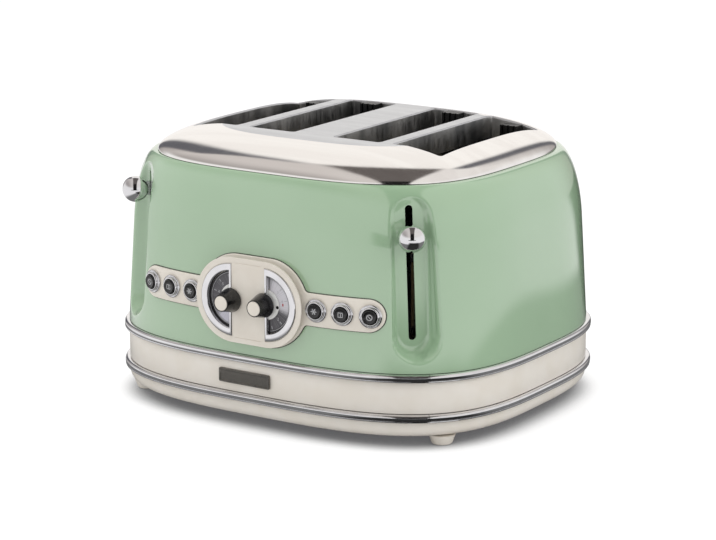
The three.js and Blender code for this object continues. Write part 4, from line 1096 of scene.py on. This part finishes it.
def arc(centre_x, centre_z, radius, start, end, steps=24):
    """Points along an arc, in mm about the panel's middle, from one angle in degrees to another."""
    angles = [math.radians(start + (end - start) * step / steps) for step in range(steps + 1)]
    return [(centre_x + radius * math.cos(a), centre_z + radius * math.sin(a)) for a in angles]


def flat_face(points, y):
    """One upright face from outline points in mm about the panel's middle."""
    mesh = bmesh.new()
    mesh.faces.new([mesh.verts.new((x * mm, y, panel_z + z * mm)) for x, z in points])
    bmesh.ops.remove_doubles(mesh, verts=mesh.verts, dist=touch)
    mesh.faces.ensure_lookup_table()
    return mesh


def drawn_out(points, near_y, far_y):
    """A closed plate of an outline between two Y places."""
    mesh = flat_face(points, near_y)
    draw_out(mesh, mesh.faces[:], 0, far_y - near_y, 0)
    return face_outwards(mesh)


def half_disc(side, radius, bar_edge=0.0, steps=48):
    """The outline of a half disc on a dial's outer side, with its straight edge off the axis."""
    turn = math.degrees(math.acos(bar_edge / radius))
    return [(side * (dial_x + x), z) for x, z in arc(0, 0, radius, -turn, turn, steps)]


fillet_reach = oval_radius + oval_fillet
fillet_rise = arm_half_height + oval_fillet
fillet_x = dial_x + math.sqrt(fillet_reach ** 2 - fillet_rise ** 2)
fillet_turn = math.degrees(math.atan2(fillet_rise, fillet_x - dial_x))


def panel_outline(grown=0.0):
    """The panel's outline in mm about its middle, from one quarter of it, grown all round."""
    quarter = (
        arc(button_x[2] - arm_end_inset, 0, arm_half_height + grown, 0, 90)
        + arc(fillet_x, fillet_rise, oval_fillet - grown, 270, 180 + fillet_turn)
        + arc(dial_x, 0, oval_radius + grown, fillet_turn, 90)
    )
    points = quarter + [(-x, z) for x, z in reversed(quarter)]
    return points + [(-x, -z) for x, z in quarter] + [(x, -z) for x, z in reversed(quarter)]


panel_mesh = drawn_out(panel_outline(), -panel_thickness, 0)
front_edges = [edge for edge in panel_mesh.edges if all(vert.co.y < -1 * mm for vert in edge.verts)]
round_edges(panel_mesh, front_edges, panel_edge_round, 4)
bend_to_front(panel_mesh, panel_gap, panel_reach, bend_pitch)
panel = new_piece("panel_moulding", panel_mesh, panel_cream)

boss_foot = boss_profile[0][0]
boss_mesh = flat_face(arc(dial_x, 0, boss_foot, -90, 90, 48) + arc(-dial_x, 0, boss_foot, 90, 270, 48), 0)
boss_face = boss_mesh.faces[0]
if boss_face.normal.y > 0:
    bmesh.ops.reverse_faces(boss_mesh, faces=[boss_face])
for before, after in zip(boss_profile, boss_profile[1:]):
    bmesh.ops.inset_region(
        boss_mesh, faces=[boss_face], thickness=(before[0] - after[0]) * mm, depth=(after[1] - before[1]) * mm)
for vert in boss_mesh.verts:
    share = min(-vert.co.y / mm / boss_reach, 1)
    vert.co.y += front_y(vert.co.x, vert.co.z, panel_gap) * (1 - share) + front_y(0, panel_z, panel_gap) * share
    vert.co.y -= panel_thickness
sunk = bmesh.ops.extrude_edge_only(boss_mesh, edges=[edge for edge in boss_mesh.edges if edge.is_boundary])
bmesh.ops.translate(boss_mesh, verts=picked(BMVert, sunk), vec=(0, boss_root, 0))
close_holes(boss_mesh)
combine(panel, "UNION", face_outwards(boss_mesh))
well_y = boss_face_y + well_depth * mm
for side in (-1, 1):
    combine(
        panel, "DIFFERENCE",
        drawn_out(half_disc(side, well_radius), boss_face_y - 5 * mm, well_y),
        shaft_hole(side, well_y, (hub_margin, hub_pocket_depth), hub_pocket_radius, 64), shaft_hole(side, well_y),
        *barrel_holes(side))
    for x in peg_x:
        place_y = front_y(x * mm, panel_z, panel_gap)
        peg = rod(peg_radius, (place_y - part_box("control_panel")[1].y) / mm, peg_root, 24)
        combine(panel, "UNION", along_y(peg, side * x * mm, place_y, panel_z))
for turn in (1, -1):
    low_z, high_z = sorted(turn * z for z in groove_z)
    combine(panel, "DIFFERENCE", block(
        (-groove_half_width, boss_face_y - 1 * mm, panel_z + low_z * mm),
        (groove_half_width, boss_face_y + groove_sink, panel_z + high_z * mm)))
settle(panel, "cream", ["control_panel"], sharp_angle=28)

# A thin dark strip a little wider than the panel, lying on the shell under it, is painted shade along the panel's edge.
shadow_line_mesh = drawn_out(panel_outline(shadow_line_width), -shadow_line_thickness, 0)
bend_to_front(shadow_line_mesh, shadow_line_gap, panel_reach, bend_pitch)
shadow_line = new_piece("panel_shadow_line", shadow_line_mesh, shadow_line_paint)
for side in (-1, 1):
    combine(shadow_line, "DIFFERENCE", shaft_hole(side, cut=front_cut), *barrel_holes(side))
settle(shadow_line, "black_plastic")

# Dial bezels
# A wide D-shaped frame of chromed die casting, with its straight side along the strip, pressed into each well
# over the dial face.
bezel_radius = 25.6
bezel_inner_radius = 20.4
bezel_bar = 2.2
bezel_round = 0.75 * mm

for side, name in sides:
    low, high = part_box(f"dial_bezel_{name}")
    bezel_mesh = flat_face(half_disc(side, bezel_radius), low.y)
    outer_edges = bezel_mesh.edges[:]
    bmesh.ops.delete(bezel_mesh, geom=[bezel_mesh.faces[0]], context="FACES_ONLY")
    inner = [
        bezel_mesh.verts.new((x * mm, low.y, panel_z + z * mm))
        for x, z in half_disc(side, bezel_inner_radius, bezel_bar)
    ]
    inner_edges = [bezel_mesh.edges.new(pair) for pair in zip(inner, inner[1:] + inner[:1])]
    bmesh.ops.bridge_loops(bezel_mesh, edges=outer_edges + inner_edges)
    draw_out(bezel_mesh, bezel_mesh.faces[:], 0, high.y - low.y, 0)
    face_outwards(bezel_mesh)
    round_edges(bezel_mesh, [
        edge for edge in bezel_mesh.edges
        if all(vert.co.y < low.y + touch for vert in edge.verts) and edge.calc_face_angle(0) > 1
    ], bezel_round, 4)
    bezel = new_piece(f"bezel_frame_{name}", bezel_mesh, chrome)
    combine(
        bezel, "DIFFERENCE",
        shaft_hole(side, well_y, (-hub_margin, hub_pocket_depth), hub_pocket_radius, 64), shaft_hole(side, well_y))
    settle(bezel, "bright_trim", [f"dial_bezel_{name}"], sharp_angle=25)

# Dial faces
# A thin half disc of dark grey metal, brushed in rays from its middle, with a fine printed ring, ticks and
# numbers for the browning, and on the right one a red mark. The sheen of the brushing is painted into its
# colour: a painted highlight over a sector, streaked in rays, and painted shade towards its rim.
dial_inner_radius = 20.1
dial_bar = 2.5
tick_angles = (-75, -45, -15, 15, 45, 75)
tick_span = (15.3, 17.5)
tick_width = 0.5
ring_span = (18.6, 18.9)
ring_bar = 2.8
print_height = 0.06
numeral_size = 2.9 * mm
numeral_radius = 13.2
numeral_turn = 70
red_mark_size = (1.0 * mm, 1.8 * mm)
red_mark_place = (13.4, 1.2)
dial_dark = (84, 82, 86)
# Painted light on the dial faces: shade towards the rim, and a highlight over a sector of turns in degrees, soft at its
# ends and streaked in rays.
dial_rim_shade = (46, 45, 47)
dial_painted_highlight = {-1: (205, 203, 214), 1: (222, 219, 224)}
highlight_turns = {-1: (-88, -38), 1: (-14, 80)}
highlight_blur = 14
dial_shade_span = (17.2, 19.8)
ray_scale = 22.0
ray_share = 0.7
print_grey = finish("print_grey", ((176, 176, 178), (190, 190, 192)), (0.4, 0.5))
print_red = finish("print_red", ((168, 30, 34), (180, 36, 40)), (0.4, 0.5))


def painted_sheen_dial(name, side):
    """Dark metal with a painted highlight over a sector about a dial's middle, streaked in rays, and painted shade
    towards the rim.
    """
    material = finish(name, (dial_dark, dial_dark), (0.4, 0.5), 900.0, coat_weight=0.2)
    tree = material.node_tree
    parts = wire_up(tree, "SeparateXYZ", {"Vector": wire_up(tree, "TexCoord")["Object"]})
    out = calculate(tree, "SUBTRACT", product(tree, parts["X"], side), dial_x * mm)
    up = calculate(tree, "SUBTRACT", parts["Z"], panel_z)
    turn = calculate(tree, "ARCTAN2", up, out)
    low, high = [math.radians(angle) for angle in highlight_turns[side]]
    rays = wire_up(
        tree, "TexNoise", {"W": turn, "Scale": ray_scale, "Detail": 3.0}, noise_dimensions="1D")[0]
    # The painted highlight: the pale sector, streaked by the rays.
    painted_sheen = calculate(
        tree, "ADD", between(tree, turn, low, high, math.radians(highlight_blur)),
        product(tree, calculate(tree, "SUBTRACT", rays, 0.5), ray_share))
    painted_sheen = calculate(tree, "MINIMUM", calculate(tree, "MAXIMUM", painted_sheen, 0.0), 1.0)
    across = calculate(tree, "SQRT", calculate(tree, "ADD", product(tree, out, out), product(tree, up, up)))
    colour = painted_over(
        tree, srgb(dial_dark), (painted_sheen, srgb(dial_painted_highlight[side])),
        (ramp(tree, across, *[reach * mm for reach in dial_shade_span]), srgb(dial_rim_shade)))
    tree.links.new(colour, tree.nodes["Principled BSDF"].inputs["Base Color"])
    return material


def numeral(text, x, y, z):
    """A number as thin raised print facing the front."""
    curve = bpy.data.curves.new("numeral", "FONT")
    curve.body = text
    curve.size = numeral_size
    curve.extrude = print_height * mm / 2
    curve.align_x, curve.align_y = "CENTER", "CENTER"
    holder = bpy.data.objects.new("numeral", curve)
    bpy.context.scene.collection.objects.link(holder)
    bpy.context.view_layer.update()
    graph = bpy.context.evaluated_depsgraph_get()
    data = bpy.data.meshes.new_from_object(holder.evaluated_get(graph))
    bpy.data.objects.remove(holder)
    mesh = bmesh.new()
    mesh.from_mesh(data)
    bpy.data.meshes.remove(data)
    return move(swing(mesh, math.pi / 2, "X"), x, y, z)


for side, name in sides:
    low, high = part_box(f"dial_face_{name}")
    face_mesh = drawn_out(half_disc(side, dial_inner_radius, dial_bar), low.y, high.y)
    dial = new_piece(f"dial_plate_{name}", face_mesh, painted_sheen_dial(f"painted_sheen_dial_{name}", side))
    combine(dial, "DIFFERENCE", shaft_hole(side, low.y))
    settle(dial, "dial", [f"dial_face_{name}"])
    print_mesh = bmesh.new()
    for tick, angle in enumerate(tick_angles):
        turn = math.radians(angle)
        mark = block(
            (tick_span[0] * mm, low.y - print_height * mm, -tick_width / 2 * mm),
            (tick_span[1] * mm, low.y, tick_width / 2 * mm))
        swing(mark, -turn, "Y")
        bmesh.ops.scale(mark, verts=mark.verts, vec=(side, 1, 1))
        add_mesh(print_mesh, face_outwards(move(mark, side * dial_x * mm, 0, panel_z)))
        if abs(angle) < numeral_turn:
            add_mesh(print_mesh, numeral(
                str(tick + 1), side * (dial_x + numeral_radius * math.cos(turn)) * mm,
                low.y - print_height * mm / 2, panel_z + numeral_radius * math.sin(turn) * mm))
    inner, outer = ring_span
    ring_mesh = along_y(
        turned([(inner, 0), (outer, 0), (outer, print_height), (inner, print_height)], 128, closed=True),
        side * dial_x * mm, low.y, panel_z)
    cut_plane(ring_mesh, (side * (dial_x + ring_bar) * mm, 0, 0), (-side, 0, 0), clear=True)
    close_holes(ring_mesh)
    add_mesh(print_mesh, ring_mesh)
    settle(new_piece(f"dial_print_{name}", print_mesh, print_grey), "dial")
    if side > 0:
        width, length = red_mark_size
        mark = block((-width / 2, -print_height * mm, -length / 2), (width / 2, 0, length / 2), 0.02 * mm, 1)
        move(mark, (dial_x + red_mark_place[0]) * mm, low.y, panel_z + red_mark_place[1] * mm)
        settle(new_piece("dial_red_mark", mark, print_red), "dial")

# Control knobs
# A tapered black moulding on a steel shaft, with a white skirt disc that carries a black pointer dot and a
# cream cap let into its front.
knob_profile = [
    (0, -25.1), (3.0, -25.1), (3.0, 0), (8.25, 0), (8.5, 0.12), (8.55, 0.4), (8.5, 0.9), (6.02, 11.0),
    (5.88, 11.6), (5.78, 11.88), (5.6, 12.0), (5.35, 11.98), (5.2, 11.8), (5.2, 11.0), (0, 11.0),
]
cap_profile = [(0, 12.3), (4.2, 12.3), (4.75, 12.24), (5.0, 12.1), (5.1, 11.85), (5.1, 11.1), (0, 11.1)]
skirt_disc_profile = [
    (3.1, -3.4), (10.4, -3.4), (10.65, -3.3), (10.7, -3.0), (10.62, -2.75), (10.4, -2.62), (10.1, -2.6), (3.1, -2.6),
]
pointer_profile = [(0, 0), (1.15, 0), (1.15, 0.04), (1.05, 0.06), (0, 0.06)]
pointer_reach = 9.6
pointer_rise = -0.9
gloss_black = finish(
    "gloss_black_moulding", ((10, 10, 11), (16, 16, 17)), (0.2, 0.28), 1600.0, relief=0.000005, coat_weight=0.3)
white_moulding = finish("white_moulding", ((232, 231, 228), (240, 239, 236)), (0.3, 0.36), 1200.0)

for side, name in sides:
    base_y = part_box(f"knob_cap_{name}")[0].y + cap_profile[0][1] * mm
    x = side * dial_x * mm
    disc_y = base_y - skirt_disc_profile[-1][1] * mm
    dot_place = (x + side * pointer_reach * mm, disc_y, panel_z + pointer_rise * mm)
    for part, mesh, place, material, slot, nodes in (
        (f"grip_{name}", turned(knob_profile, 96), (x, base_y, panel_z),
            gloss_black, "black_plastic", [f"control_knob_{name}"]),
        (f"skirt_{name}", turned(skirt_disc_profile, 96, closed=True), (x, base_y, panel_z),
            white_moulding, "cream", []),
        (f"pointer_{name}", turned(pointer_profile, 32), dot_place, gloss_black, "black_plastic", []),
        (f"cap_{name}_cream", turned(cap_profile, 96), (x, base_y, panel_z),
            panel_cream, "cream", [f"knob_cap_{name}"]),
    ):
        settle(new_piece("knob_" + part, along_y(mesh, *place), material), slot, nodes, f"knob_{name}")

# Push buttons
# Three on each arm: a black moulded button with a printed sign for thawing, for bread on one side or for
# stopping, sliding in a stepped chromed ring whose barrel goes through the panel and the shell.
ring_profile = [
    (5.2, -5.0), (5.2, 3.9), (5.28, 4.2), (5.5, 4.42), (5.8, 4.5), (6.15, 4.42), (6.45, 4.15), (6.65, 3.7),
    (6.75, 3.1), (6.8, 2.5), (6.95, 2.32), (7.2, 2.3), (7.35, 2.5), (7.45, 2.78), (7.7, 2.9), (7.95, 2.82),
    (8.15, 2.6), (8.25, 2.3), (8.25, 2.02), (6.1, 2.02), (6.1, -5.0),
]
button_profile = [
    (0, 5.3), (2.6, 5.33), (3.5, 5.43), (4.0, 5.6), (4.3, 5.69), (4.5, 5.66), (4.7, 5.5), (4.84, 5.2),
    (4.9, 4.8), (4.9, -7.0), (0, -7.0),
]
sign_root = 5.1
sign_face = 5.37
stop_radius = 1.9
stop_width = 0.5


def bar_mark(length, width, angle=0.0, x=0.0, z=0.0):
    """A printed bar on a button's face, in mm, laid facing the front."""
    mark = block(
        (-length / 2 * mm, -sign_face * mm, -width / 2 * mm), (length / 2 * mm, -sign_root * mm, width / 2 * mm))
    return move(swing(mark, math.radians(angle), "Y"), x * mm, 0, z * mm)


def thaw_sign():
    """Three crossed bars with a pair of barbs on each of their six arms."""
    yield from (bar_mark(4.4, 0.5, angle) for angle in (0, 60, 120))
    for angle in range(0, 360, 60):
        turn = math.radians(angle)
        for bend in (50, -50):
            yield bar_mark(1.1, 0.36, angle + bend, 1.5 * math.cos(turn), -1.5 * math.sin(turn))


def one_side_sign():
    """A slice of bread seen from its end, with a bar off its middle."""
    yield from (bar_mark(3.6, 0.45, 0, 0, z) for z in (1.5, -1.5))
    yield from (bar_mark(3.0, 0.45, 90, x) for x in (-1.6, 1.6, 0.2))


def stop_sign():
    """A ring with a bar across it."""
    inner, outer = stop_radius - stop_width / 2, stop_radius + stop_width / 2
    yield along_y(turned([
        (inner, sign_root), (outer, sign_root), (outer, sign_face), (inner, sign_face)], 48, closed=True))
    yield bar_mark(3.6, stop_width, 45)


for side, side_name in sides:
    for x, place, marks in zip(button_x, ("inner", "middle", "outer"), (thaw_sign, one_side_sign, stop_sign)):
        name = f"{side_name}_{place}"
        ring_mesh = at_button(along_y(turned(ring_profile, 96, closed=True), z=panel_z), side, x)
        settle(new_piece(f"button_ring_{name}", ring_mesh, chrome), "bright_trim", [f"button_bezel_{name}"], "root", 40)
        button_mesh = at_button(along_y(turned(button_profile, 64), z=panel_z), side, x)
        settle(
            new_piece(f"button_{name}_cap", button_mesh, gloss_black), "black_plastic", [f"push_button_{name}"],
            f"button_{name}")
        sign_mesh = bmesh.new()
        for mark in marks():
            add_mesh(sign_mesh, mark)
        sign_mesh = at_button(move(sign_mesh, 0, 0, panel_z), side, x)
        settle(new_piece(f"button_sign_{name}", sign_mesh, print_grey), "black_plastic", body=f"button_{name}")

# Lever balls
# A turned brass ball, chromed and polished, screwed on the end of each carriage's arm where it comes out of the
# shell, with a small collar towards the flute.
ball_steps = 48
collar_radius = 3.6
collar_profile = [(0, -8.85), (3.3, -8.85), (3.55, -8.7), (collar_radius, -8.45)]

for side, name in sides:
    low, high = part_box(f"lever_ball_{name}")
    ball_radius = (high.x - low.x) / 2 / mm
    start = math.asin(collar_radius / ball_radius)
    turns = [start + (math.pi - start) * step / ball_steps for step in range(ball_steps)]
    ball_profile = collar_profile + [
        (ball_radius * math.sin(turn), -ball_radius * math.cos(turn)) for turn in turns] + [(0, ball_radius)]
    ball_mesh = swing(along_y(turned(ball_profile, 96)), side * corner_angle, "Z")
    ball = new_piece(f"lever_ball_{name}_chromed", move(ball_mesh, *(low + high) / 2), chrome)
    settle(ball, "bright_trim", [f"lever_ball_{name}"], f"carriage_{name}", 40)

# The visual model's size, beside the CAD model's
[[list(corner) for corner in box] for box in (cad_box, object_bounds())]
